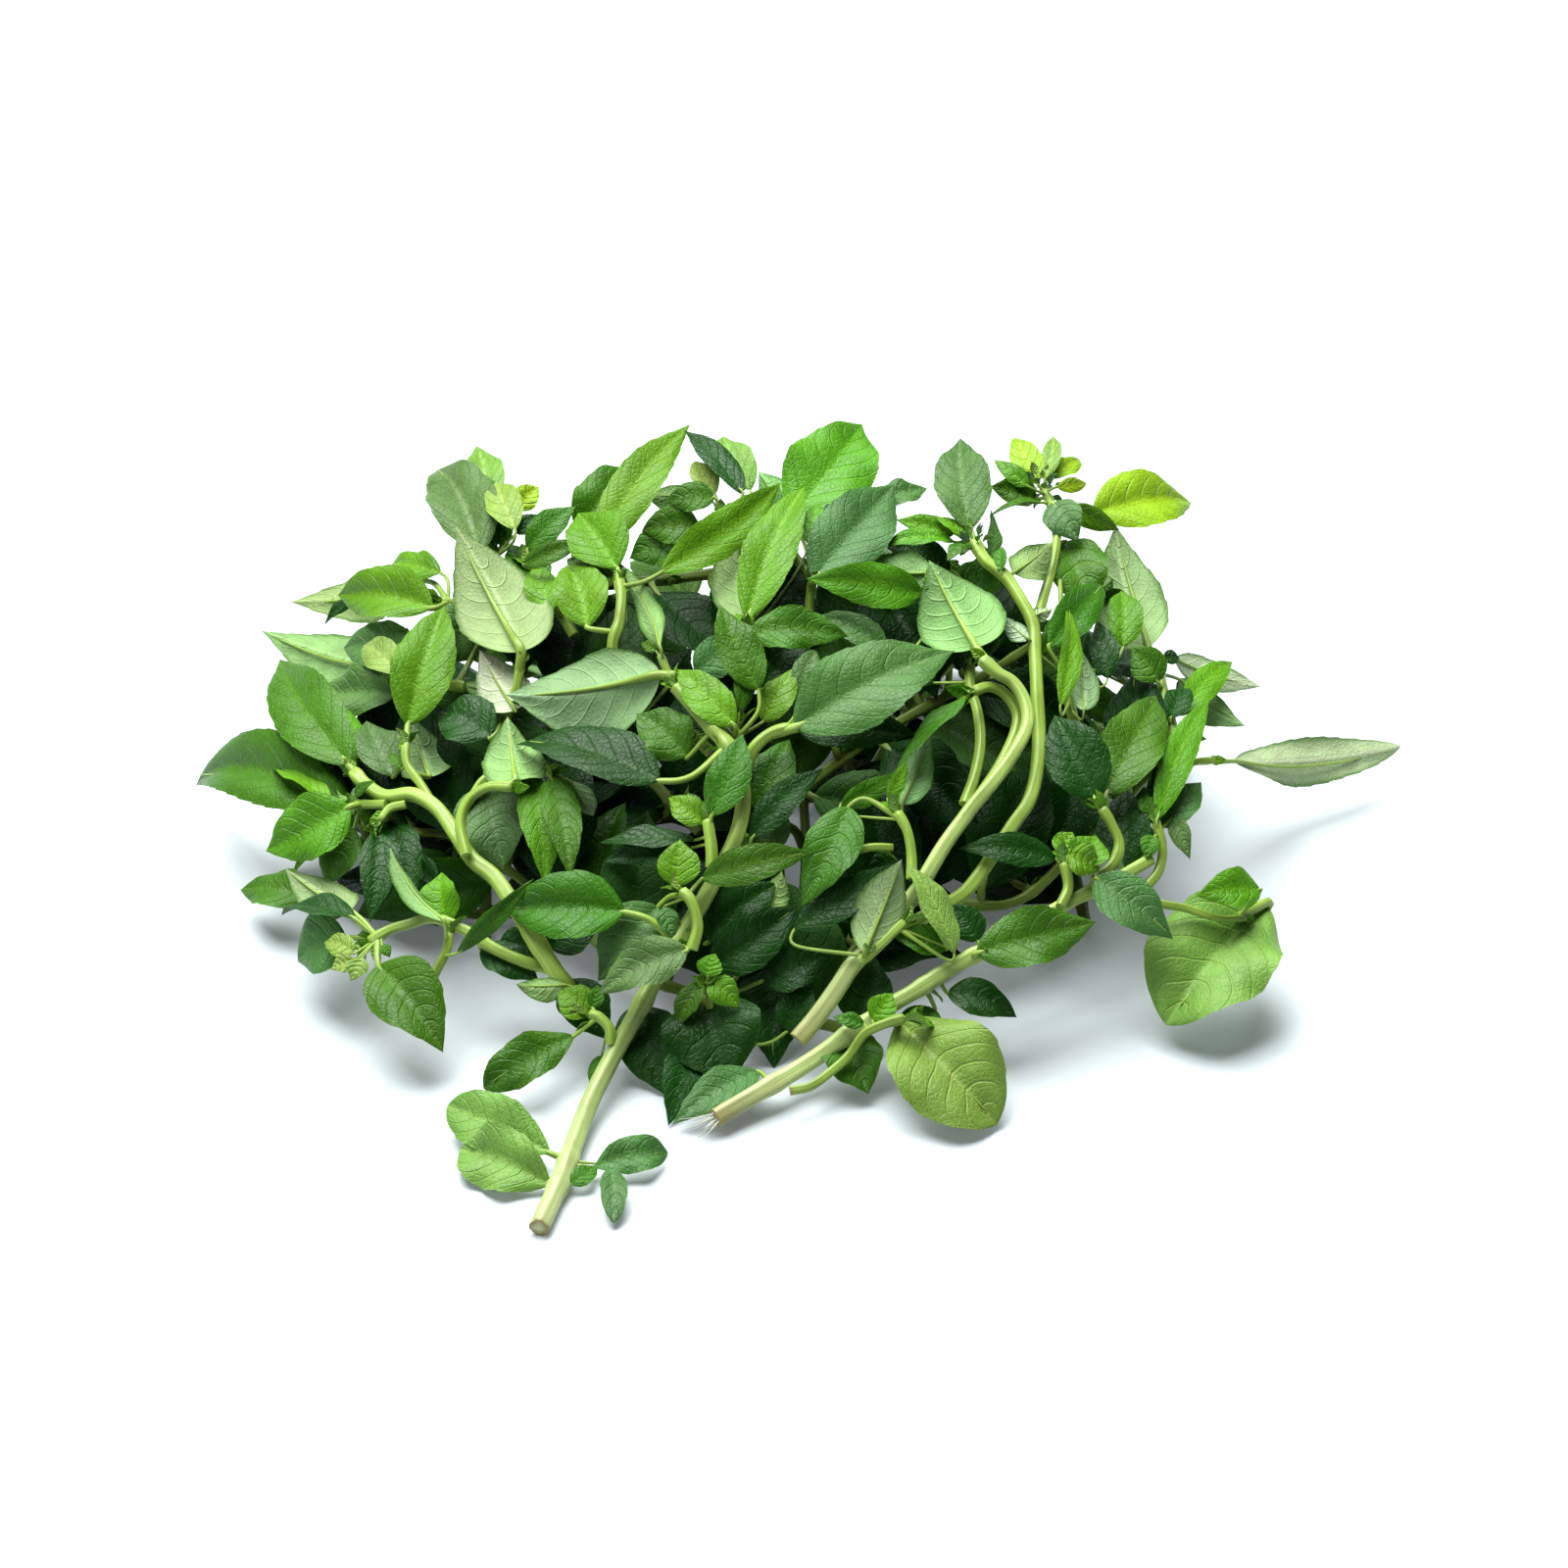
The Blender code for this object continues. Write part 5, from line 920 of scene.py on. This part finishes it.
def leaf_stalk(leaf):
    """A leaf's own stalk, which runs on under the blade as its midrib and thins to nothing near the tip."""
    start, lead, base = leaf["start"], leaf["lead"], leaf["base"]
    apart = np.linalg.norm(base - start)
    root = [start, base]
    if apart > LONG_PETIOLE:
        root.insert(1, 0.25 * start + 0.5 * lead + 0.25 * base)
    path = smooth_path(np.vstack([root, leaf_midrib(leaf, RIB_SHARES)]), max(0.9, leaf["length"] / 28))
    share = np.linspace(0, 1, len(path))
    blade_from = 1 - leaf["length"] * RIB_SHARES[-1] / (leaf["length"] * RIB_SHARES[-1] + apart)
    rib_share = np.clip((share - blade_from) / (1 - blade_from), 0, 1)
    waist = 1 - 0.3 * np.sin(math.pi * share) ** 2
    radius = float(np.clip(leaf["width"] / 20, 0.35, 1.15)) * (1.05 * (1 - rib_share) ** 0.9 * waist + 0.12)
    under = np.clip(rib_share * 12, 0, 1)
    path = path - (0.85 * radius * under)[:, None] * leaf["top"]
    return stalk_skin(path, radius, square=0.0, around=7)


def stalk_skin(path, radius, square=0.09, around=20):
    """A stalk: rings across the path of radius r (1 + s cos 4t - s cos 8t / 4), so s gives four corners
    and a shallow groove down each side. Its ends close on poles a little way out."""
    along, across, over = carried_frames(path)
    turn = np.linspace(0, 2 * math.pi, around, endpoint=False)[None, :]
    reach = np.asarray(radius)[:, None] * (1 + square * np.cos(4 * turn) - 0.25 * square * np.cos(8 * turn))
    ring = across[:, None] * np.cos(turn)[..., None] + over[:, None] * np.sin(turn)[..., None]
    rings = path[:, None] + ring * reach[..., None]
    rings[..., 2] = np.maximum(rings[..., 2], 0.05)
    length = np.concatenate([[0], np.cumsum(np.linalg.norm(np.diff(path, axis=0), axis=1))])
    grain = np.stack([np.broadcast_to(turn / (2 * math.pi), reach.shape),
                      np.broadcast_to(length[:, None], reach.shape), reach * 0], -1).reshape(-1, 3)
    grain = np.vstack([grain, [0.5, 0, 1], [0.5, length[-1], 1]])
    points, quads, caps = skin(rings, path[0] - along[0] * 0.1, path[-1] + along[-1] * 0.5 * radius[-1])
    return dict(points=points, quads=quads, caps=caps, grain=grain)


# Branches deep inside the heap or under it, by the start of their names, and the share of their colour and
# gloss that is kept: painted shade.
SHADED = {"shoot_deep": 0.45, "shoot_bed_": 0.35}
# Stalks without young leaflets at their end; knots of flower buds, as their count and reach; ends cut
# clean; how brown the feet of older stalks are, and over how many mm; the torn fibres; and how stalks swell
# where a leaf leaves them. Small leaves' sizes and fibres' lengths are drawn between two ends.
BARE_ENDED = ("leaf_", "stub_", "stalk_", "stem_right", "stem_middle")
KNOTS = {"stem_flower_tip": (30, 5.0), "stem_flowering": (18, 3.6), "shoot_left_tip": (9, 2.4)}
CUT_ENDED = ("stem_front", "branch_right_foot", "stub_broken")
OLD_FEET = {"stem_right": 0.75, "stem_middle": 0.6, "stem_front": 0.15}
FIBRES = 16
NODE_SWELL = 0.22
NODE_SPREAD = 2.2
FOOT_MM = 60
OLD_MM = 9
CUT_RIM_MM = 0.6
TIP_SIZES = (5, 9)
CORNER_SIZES = (3.5, 6.5)
BUD_SIZES = (2.6, 4.4)
FIBRE_SIZES = (5, 11)
GOLDEN_ANGLE = 137.5


def joined(skins, keys):
    """Several skins as one: their points, faces and the named values at each point, one after another."""
    offsets = np.cumsum([0] + [len(skin_["points"]) for skin_ in skins[:-1]])
    whole = {key: np.concatenate([skin_[key] for skin_ in skins]) for key in ("points", *keys)}
    quads = [skin_["quads"] + offset for skin_, offset in zip(skins, offsets)]
    caps = [skin_["caps"] + offset for skin_, offset in zip(skins, offsets)]
    whole["faces"] = [face for pair in zip(quads, caps) for face in (*pair[0].tolist(), *pair[1].tolist())]
    if "under" in skins[0]:
        whole["under"] = np.concatenate([skin_["under"] for skin_ in skins])
    return whole


def new_piece(name, whole, values, materials, node, slot):
    """A mesh piece from joined skins, with its values as attributes, that rides on the bunch's one body."""
    mesh = bpy.data.meshes.new(name)
    mesh.from_pydata((whole["points"] * MM).tolist(), [], whole["faces"])
    mesh.shade_smooth()
    mesh.set_sharp_from_angle(angle=math.radians(75))
    for key in values:
        kind = "FLOAT_COLOR" if key == "tone" else "FLOAT_VECTOR"
        data = whole[key] if kind == "FLOAT_VECTOR" else np.column_stack([whole[key], whole["shade"]])
        mesh.attributes.new(key, kind, "POINT").data.foreach_set(
            "vector" if kind == "FLOAT_VECTOR" else "color", data.astype(np.float32).ravel())
    for material in materials:
        mesh.materials.append(material)
    if "under" in whole:
        mesh.polygons.foreach_set("material_index", whole["under"].astype(np.int32))
    piece = bpy.data.objects.new(name, mesh)
    bpy.context.scene.collection.objects.link(piece)
    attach(piece, "root")
    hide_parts(node)


def leaflet(root, way, top, size, look):
    """A very small leaf that opens from a point."""
    base = root + 0.12 * size * way
    leaf = leaf_shape(root, base, root + size * way, 0.5 * size, top, False)
    leaf["look"] = look
    return leaf


def tip_leaflets(branch, rng):
    """Two crossed pairs of leaflets at the stalk's end, half open."""
    if branch["name"].startswith(BARE_ENDED) or branch["name"] in KNOTS:
        return []
    end = branch["path"][-1]
    along = unit(end - branch["path"][-4])
    side = unit(np.cross(along, UP + 0.05))
    leaves = []
    for number in range(4):
        out = turned(side, along, 90 * number + rng.uniform(-20, 20))
        size = rng.uniform(*TIP_SIZES) * (1 if number < 2 else 0.75)
        way = unit(along + (0.75 if number < 2 else 0.4) * out)
        leaves.append(leaflet(end - 0.6 * along, way, unit(along - 0.9 * out), size, BRIGHT))
    return leaves


def corner_leaflets(branch, rng):
    """A pair of leaflets in about half of the corners between the stalk and its larger leaves."""
    leaves = []
    for leaf in branch["leaves"]:
        if leaf["width"] < 11 or rng.random() < 0.45:
            continue
        out = unit(leaf["base"] - leaf["start"])
        path = branch["path"]
        nearest = int(np.argmin(np.linalg.norm(path - leaf["start"], axis=1)))
        along = unit(path[min(nearest + 3, len(path) - 1)] - path[max(nearest - 3, 0)])
        for swing in (-28, 28):
            way = turned(unit(along + 0.8 * out), unit(np.cross(along, out) + 0.01), swing)
            size = rng.uniform(*CORNER_SIZES)
            top = unit(along - out + 0.2 * UP)
            leaves.append(leaflet(leaf["start"] + 1.2 * out, way, top, size, BRIGHT))
    return leaves


def knot_leaflets(branch, rng):
    """A knot of flower buds at the stalk's end: small pointed scales set by the golden angle on an oval."""
    if branch["name"] not in KNOTS:
        return []
    count, reach = KNOTS[branch["name"]]
    end = branch["path"][-1]
    along = unit(end - branch["path"][-4])
    side = unit(np.cross(along, UP + 0.05))
    leaves = []
    for number in range(count):
        height = 1 - 1.7 * (number + 0.5) / count
        ring = math.sqrt(max(0.0, 1 - height**2))
        out = turned(side, along, GOLDEN_ANGLE * number)
        way = unit(ring * out + height * along)
        root = end + reach * (0.45 * ring * out + 0.8 * height * along)
        look = rng.choice((YOUNG, BRIGHT, GREY))
        size = rng.uniform(*BUD_SIZES)
        leaves.append(leaflet(root, unit(way + 0.5 * along), unit(along - 0.4 * out), size, look))
    return leaves


def stalk_radius(path, thick, leaves):
    """A stalk's radius along its path: its taper, swollen where each leaf or shoot leaves it."""
    swell = np.zeros(len(path))
    for leaf in leaves:
        apart = np.linalg.norm(path - leaf["start"], axis=1)
        swell = np.maximum(swell, np.exp(-((apart / NODE_SPREAD) ** 2)) * min(1, leaf["width"] / 14))
    return thick * (1 + NODE_SWELL * swell)


def stalk_tones(skin_, rng, cut=False, old=0.0):
    """The colour of a stalk's points: yellow-green, a little deeper or paler from stalk to stalk, browned
    towards its foot by the share old, and pale on its cut face inside a brown rim."""
    tone = np.tile(linear(STALK_TONE) * rng.uniform(0.85, 1.12), (len(skin_["points"]), 1))
    length = skin_["grain"][:, 1:2]
    if old:
        foot = np.exp(-length / FOOT_MM)
        tone = tone * (1 - foot) + linear(STALK_FOOT_TONE) * foot
    brown = old * np.exp(-length / OLD_MM)
    tone = tone * (1 - brown) + linear(STALK_OLD_TONE) * brown
    if cut:
        rim = length[:, 0] < CUT_RIM_MM
        tone[rim] = linear(STALK_OLD_TONE)
        tone[-2] = linear(CUT_TONE)
    return tone


def torn_fibres(end, along, rng):
    """White fibres that fan out from a torn stalk's end, each a thread that thins to its tip and droops."""
    skins = []
    for _ in range(FIBRES):
        side = turned(unit(np.cross(along, UP)), along, rng.uniform(0, 360))
        reach = rng.uniform(*FIBRE_SIZES)
        way = unit(along + rng.uniform(0.05, 0.35) * side)
        root = end + rng.uniform(0, 1.4) * side - 1.5 * along
        points = [root, root + 0.5 * reach * way, root + reach * way + rng.uniform(-0.8, 0.8) * side]
        path = smooth_path(points, 0.8)
        path[:, 2] = np.maximum(path[:, 2], 0.2)
        thread = stalk_skin(path, np.linspace(0.2, 0.04, len(path)), square=0.0, around=5)
        thread["tone"] = np.tile(linear(FIBRE_TONE), (len(thread["points"]), 1))
        skins.append(thread)
    return skins


def dress_branch(branch, rng, looks):
    """The fine pieces of one branch: its stalk with the leaves' stalks and midribs, and its leaf blades."""
    small = tip_leaflets(branch, rng) + corner_leaflets(branch, rng) + knot_leaflets(branch, rng)
    whole = branch["whole"]
    shares = np.linspace(0, 1, len(branch["thick"]))
    thick = np.interp(np.linspace(0, 1, len(whole)), shares, branch["thick"])
    skins = [stalk_skin(whole, stalk_radius(whole, thick, branch["leaves"]))]
    skins += [leaf_stalk(leaf) for leaf in branch["leaves"]]
    shade = SHADED.get(branch["name"][:10], 1.0)
    for leaf in branch["leaves"] + small:
        leaf["shade"] = shade
    # Painted shade: the stalks of a branch deep in the heap or under it are darkened as well.
    for skin_ in skins:
        skin_["tone"] = stalk_tones(skin_, rng) * shade
    cut, old = branch["name"] in CUT_ENDED, OLD_FEET.get(branch["name"], 0)
    skins[0]["tone"] = stalk_tones(skins[0], rng, cut, old) * shade
    if branch["name"] == "stem_right":
        skins += torn_fibres(whole[0], unit(whole[0] - whole[4]), rng)
    node, slot = branch["name"], SLOTS[branch["name"]]
    blades = [blade(leaf, rng) for leaf in branch["leaves"] + small]
    for skin_ in skins + blades:
        skin_["shade"] = np.full(len(skin_["points"]), shade)
    stalk = joined(skins, ("tone", "grain", "shade"))
    new_piece(node + "_stalk", stalk, ("tone", "grain"), [looks["stem"]], node, "stem")
    if blades:
        new_piece(node + "_leaves", joined(blades, ("tone", "veins", "shade")), ("tone", "veins"),
                  [looks["top"], looks["under"]], node, slot if slot != "stem" else "leaf")
# Plant skin: gloss, how much paler veins are than the skin, and how rough each side is. Relief is in metres.
PLANT_IOR = 1.42
RELIEF_M = 0.0003
LEAF_GLOSS = 0.26
STEM_GLOSS = 0.5
TOP_VEIN_LIFT = (1.9, 1.5, 1.8)
UNDER_VEIN_LIFT = (1.6, 1.4, 1.7)
# Spacing of patterns in mm: a leaf's mottling, the cells of its finest veins, its oil glands, and a stem's
# mottling. A stem has 26 fibres round it, each about 17 mm long.
MOTTLE_MM = 6.25
CELL_MM = 10 / 7
GLAND_MM = 5 / 7
STEM_MOTTLE_MM = 100 / 9
FIBRES_ROUND_ALONG = (26.0, 0.06, 1.0)
# Ranges of a pattern and what they are spread over. Veins fade out over mm from their middle line.
RANGE = ("From Min", "From Max", "To Min", "To Max")
LATERAL_FADE = dict(zip(RANGE, (0.08, 0.42, 1.0, 0.0)))
MIDRIB_FADE = dict(zip(RANGE, (0.2, 0.65, 1.0, 0.0)))
CELL_FADE = dict(zip(RANGE, (0.0, 0.16, 1.0, 0.0)))
MOTTLING = dict(zip(RANGE, (0.3, 0.7, 0.84, 1.14)))
TOP_ROUGHNESS = dict(zip(RANGE, (0.3, 0.7, 0.3, 0.5)))
UNDER_ROUGHNESS = dict(zip(RANGE, (0.3, 0.7, 0.5, 0.66)))
STREAKS = dict(zip(RANGE, (0.7, 1.3, 0.72, 1.22)))
# How strongly the table glows: painted light that thins the shadows.
TABLE_PAINTED_GLOW = 0.1


def add(tree, kind, inputs=(), **settings):
    """Adds a shader node with its settings and links, and gives its outputs. Each input is a socket to
    link from, or a value to hold."""
    node = tree.nodes.new(kind)
    for key, value in settings.items():
        setattr(node, key, value)
    for key, value in dict(inputs).items():
        if isinstance(value, bpy.types.NodeSocket):
            tree.links.new(value, node.inputs[key])
        else:
            node.inputs[key].default_value = value
    return node.outputs


def new_material(name):
    """A material with its node tree and its Principled shader."""
    material = bpy.data.materials.new(name)
    material.use_nodes = True
    return material, material.node_tree, material.node_tree.nodes["Principled BSDF"]


def per_metre(spacing_mm):
    """How many of a pattern's marks lie in a metre when they are so many mm apart."""
    return 1 / (spacing_mm * MM)


def toned(tree, shader, gloss):
    """The tone stored at each point. Its alpha, a painted share of light that is low deep in the heap,
    scales the gloss as painted shade.
    """
    tone, _, _, shade = add(tree, "ShaderNodeAttribute", attribute_name="tone")
    gloss = add(tree, "ShaderNodeMath", {0: shade, 1: gloss}, operation="MULTIPLY")[0]
    tree.links.new(gloss, shader.inputs["Specular IOR Level"])
    return tone


def finish_shader(tree, shader, colour, relief, strength, soft, radius, depth_m):
    """Links colour and relief to a shader, and sets the light that passes through the skin's flesh."""
    tree.links.new(colour, shader.inputs["Base Color"])
    relief = {"Height": relief, "Strength": strength, "Distance": RELIEF_M}
    tree.links.new(add(tree, "ShaderNodeBump", relief)["Normal"], shader.inputs["Normal"])
    shader.inputs["IOR"].default_value = PLANT_IOR
    shader.inputs["Subsurface Weight"].default_value = soft
    shader.inputs["Subsurface Radius"].default_value = radius
    shader.inputs["Subsurface Scale"].default_value = depth_m


def vein_lines(tree):
    """Lines of a leaf's veins, each 0 to 1: the laterals from their count and pitch, and the midrib."""
    marks = add(tree, "ShaderNodeAttribute", attribute_name="veins")["Vector"]
    phase, pitch, lateral = add(tree, "ShaderNodeSeparateXYZ", {"Vector": marks})
    away = add(tree, "ShaderNodeMath", {0: phase, 1: 1.0}, operation="PINGPONG")[0]
    away = add(tree, "ShaderNodeMath", {0: away, 1: 0.5}, operation="PINGPONG")[0]
    lines = []
    for operation, values, fade in (("MULTIPLY", {0: away, 1: pitch}, LATERAL_FADE),
                                    ("ABSOLUTE", {0: lateral}, MIDRIB_FADE)):
        off_mm = add(tree, "ShaderNodeMath", values, operation=operation)[0]
        fade = {"Value": off_mm, **fade}
        lines.append(add(tree, "ShaderNodeMapRange", fade, interpolation_type="SMOOTHSTEP")["Result"])
    return lines


def leaf_material(name, under):
    """Fresh basil leaf: a thin soft blade under a waxy skin. Its top is deep green and half glossy, with
    sunk veins that are a little paler; its underside is grey-green and duller, with the veins raised and
    pale. Between the veins a net of finer ones closes cells about 1.4 mm wide, and oil glands pit it."""
    material, tree, shader = new_material(name)
    place_m = add(tree, "ShaderNodeTexCoord")["Object"]
    tone = toned(tree, shader, LEAF_GLOSS)
    laterals, midrib = vein_lines(tree)
    lines = add(tree, "ShaderNodeMath", {0: laterals, 1: midrib}, operation="MAXIMUM")[0]
    cloud = {"Vector": place_m, "Scale": per_metre(MOTTLE_MM), "Detail": 3.0}
    cloud = add(tree, "ShaderNodeTexNoise", cloud)["Fac"]
    mottling = add(tree, "ShaderNodeMapRange", {"Value": cloud, **MOTTLING})["Result"]
    mottled = add(tree, "ShaderNodeVectorMath", {0: tone, 1: mottling}, operation="MULTIPLY")["Vector"]
    cells = {"Vector": place_m, "Scale": per_metre(CELL_MM)}
    cells = add(tree, "ShaderNodeTexVoronoi", cells, feature="DISTANCE_TO_EDGE")["Distance"]
    net = add(tree, "ShaderNodeMapRange", {"Value": cells, **CELL_FADE})["Result"]
    pale = add(tree, "ShaderNodeMath", {0: net, 1: 0.2 if under else 0.15}, operation="MULTIPLY")[0]
    pale = {0: lines, 1: 0.7 if under else 0.4, 2: pale}
    pale = add(tree, "ShaderNodeMath", pale, operation="MULTIPLY_ADD")[0]
    vein_tone = {0: tone, 1: UNDER_VEIN_LIFT if under else TOP_VEIN_LIFT}
    vein_tone = add(tree, "ShaderNodeVectorMath", vein_tone, operation="MULTIPLY")["Vector"]
    colour = {"Factor": pale, 6: mottled, 7: vein_tone}
    colour = add(tree, "ShaderNodeMix", colour, data_type="RGBA")[2]

    rough = {"Value": cloud, **(UNDER_ROUGHNESS if under else TOP_ROUGHNESS)}
    tree.links.new(add(tree, "ShaderNodeMapRange", rough)["Result"], shader.inputs["Roughness"])
    relief = add(tree, "ShaderNodeMath", {0: net, 1: 0.32, 2: laterals}, operation="MULTIPLY_ADD")[0]
    relief = {0: relief, 1: 1.0 if under else -1.0}
    relief = add(tree, "ShaderNodeMath", relief, operation="MULTIPLY")[0]
    pits = {"Vector": place_m, "Scale": per_metre(GLAND_MM), "Detail": 1.0}
    pits = add(tree, "ShaderNodeTexNoise", pits)["Fac"]
    relief = add(tree, "ShaderNodeMath", {0: pits, 1: 0.3, 2: relief}, operation="MULTIPLY_ADD")[0]
    finish_shader(tree, shader, colour, relief, 0.8, 0.08, (0.5, 1.0, 0.2), 0.001)
    return material


def stem_material():
    """Fresh basil stem: juicy square stalk with a smooth skin. Fine fibres run along it as paler and deeper
    streaks about 0.5 mm apart, and it shines softly."""
    material, tree, shader = new_material("fresh basil stem")
    place_m = add(tree, "ShaderNodeTexCoord")["Object"]
    tone = toned(tree, shader, STEM_GLOSS)
    grain = add(tree, "ShaderNodeAttribute", attribute_name="grain")["Vector"]
    grain = {0: grain, 1: FIBRES_ROUND_ALONG}
    grain = add(tree, "ShaderNodeVectorMath", grain, operation="MULTIPLY")["Vector"]
    fibres = add(tree, "ShaderNodeTexNoise", {"Vector": grain, "Scale": 1.0, "Detail": 3.0})["Fac"]
    cloud = {"Vector": place_m, "Scale": per_metre(STEM_MOTTLE_MM), "Detail": 2.0}
    cloud = add(tree, "ShaderNodeTexNoise", cloud)["Fac"]
    streaks = add(tree, "ShaderNodeMath", {0: fibres, 1: cloud}, operation="ADD")[0]
    streaks = add(tree, "ShaderNodeMapRange", {"Value": streaks, **STREAKS})["Result"]
    colour = add(tree, "ShaderNodeVectorMath", {0: tone, 1: streaks}, operation="MULTIPLY")["Vector"]
    finish_shader(tree, shader, colour, fibres, 0.5, 0.2, (0.8, 1.0, 0.3), 0.0012)
    shader.inputs["Roughness"].default_value = 0.3
    return material


def table_material():
    """Table top: matt white, with a faint painted glow that thins the shadows."""
    material, _, shader = new_material("white table with painted glow")
    shader.inputs["Base Color"].default_value = (*linear("C5CED2"), 1)
    # Painted glow: the table gives off a little light of its own, which thins the shadows.
    shader.inputs["Emission Color"].default_value = (*linear("F3FAFF"), 1)
    shader.inputs["Emission Strength"].default_value = TABLE_PAINTED_GLOW
    shader.inputs["Roughness"].default_value = 0.6
    return material


TABLE_REACH = 6.0
LENS = 85.0
SENSOR = 36.0
CAMERA_SHIFT = (-0.00625, 0.0906)
# Each light's name, place and size in metres, and watts; then the point in metres that both are turned to.
LIGHTS = (("overhead", (-0.25, 0.45, 1.3), 1.3, 62), ("front_left", (-1.0, -0.9, 0.9), 0.7, 5))
LIT_POINT = (0, 0, 0.03)
ROOM_GLOW = 0.035


def add_table():
    """The table's top, a wide plain sheet just below the bunch."""
    corners = [(-1, -1, 0), (1, -1, 0), (1, 1, 0), (-1, 1, 0)]
    mesh = bpy.data.meshes.new("table_top")
    mesh.from_pydata((np.array(corners) * TABLE_REACH).tolist(), [], [(0, 1, 2, 3)])
    mesh.materials.append(table_material())
    table = bpy.data.objects.new("table_top", mesh)
    bpy.context.scene.collection.objects.link(table)


def add_light(name, place_m, size, watts):
    """A square soft light at a place, turned to the heap."""
    light = bpy.data.lights.new(name, "AREA")
    light.size = size
    light.energy = watts
    lamp = bpy.data.objects.new(name, light)
    lamp.location = place_m
    lamp.rotation_euler = (Vector(LIT_POINT) - Vector(place_m)).to_track_quat("-Z", "Y").to_euler()
    bpy.context.scene.collection.objects.link(lamp)


def add_lights():
    """A wide soft light above and behind, a weaker one from the front left, and a pale room."""
    for light in LIGHTS:
        add_light(*light)
    world = bpy.data.worlds.new("pale room")
    world.use_nodes = True
    world.node_tree.nodes["Background"].inputs["Color"].default_value = (*linear("F3FAFF"), 1)
    world.node_tree.nodes["Background"].inputs["Strength"].default_value = ROOM_GLOW
    bpy.context.scene.world = world
    bpy.context.scene.view_settings.view_transform = "Standard"


def add_camera(middle):
    """The camera at the eye, looking straight at the drawing board."""
    camera = bpy.data.cameras.new("eye")
    camera.lens = LENS
    camera.sensor_width = SENSOR
    camera.shift_x, camera.shift_y = CAMERA_SHIFT
    eye = bpy.data.objects.new("eye", camera)
    eye.location = Vector((EYE - middle) * MM)
    eye.rotation_euler = Vector(EYE).to_track_quat("Z", "Y").to_euler()
    bpy.context.scene.collection.objects.link(eye)
    bpy.context.scene.camera = eye


def main():
    """Grows the bunch, dresses each branch, and sets the table, the lights and the camera."""
    grown = grow_bunch()
    middle = footprint_middle(grown)
    looks = {"top": leaf_material("fresh basil leaf top", False),
             "under": leaf_material("fresh basil leaf underside", True), "stem": stem_material()}
    for branch in centred(grown, middle):
        dress_branch(branch, random.Random(branch["name"]), looks)
    add_table()
    add_lights()
    add_camera(middle)


SLOTS = {entry["node"]: entry["material_slot"] for entry in frame["record"]["subparts"]}
main()
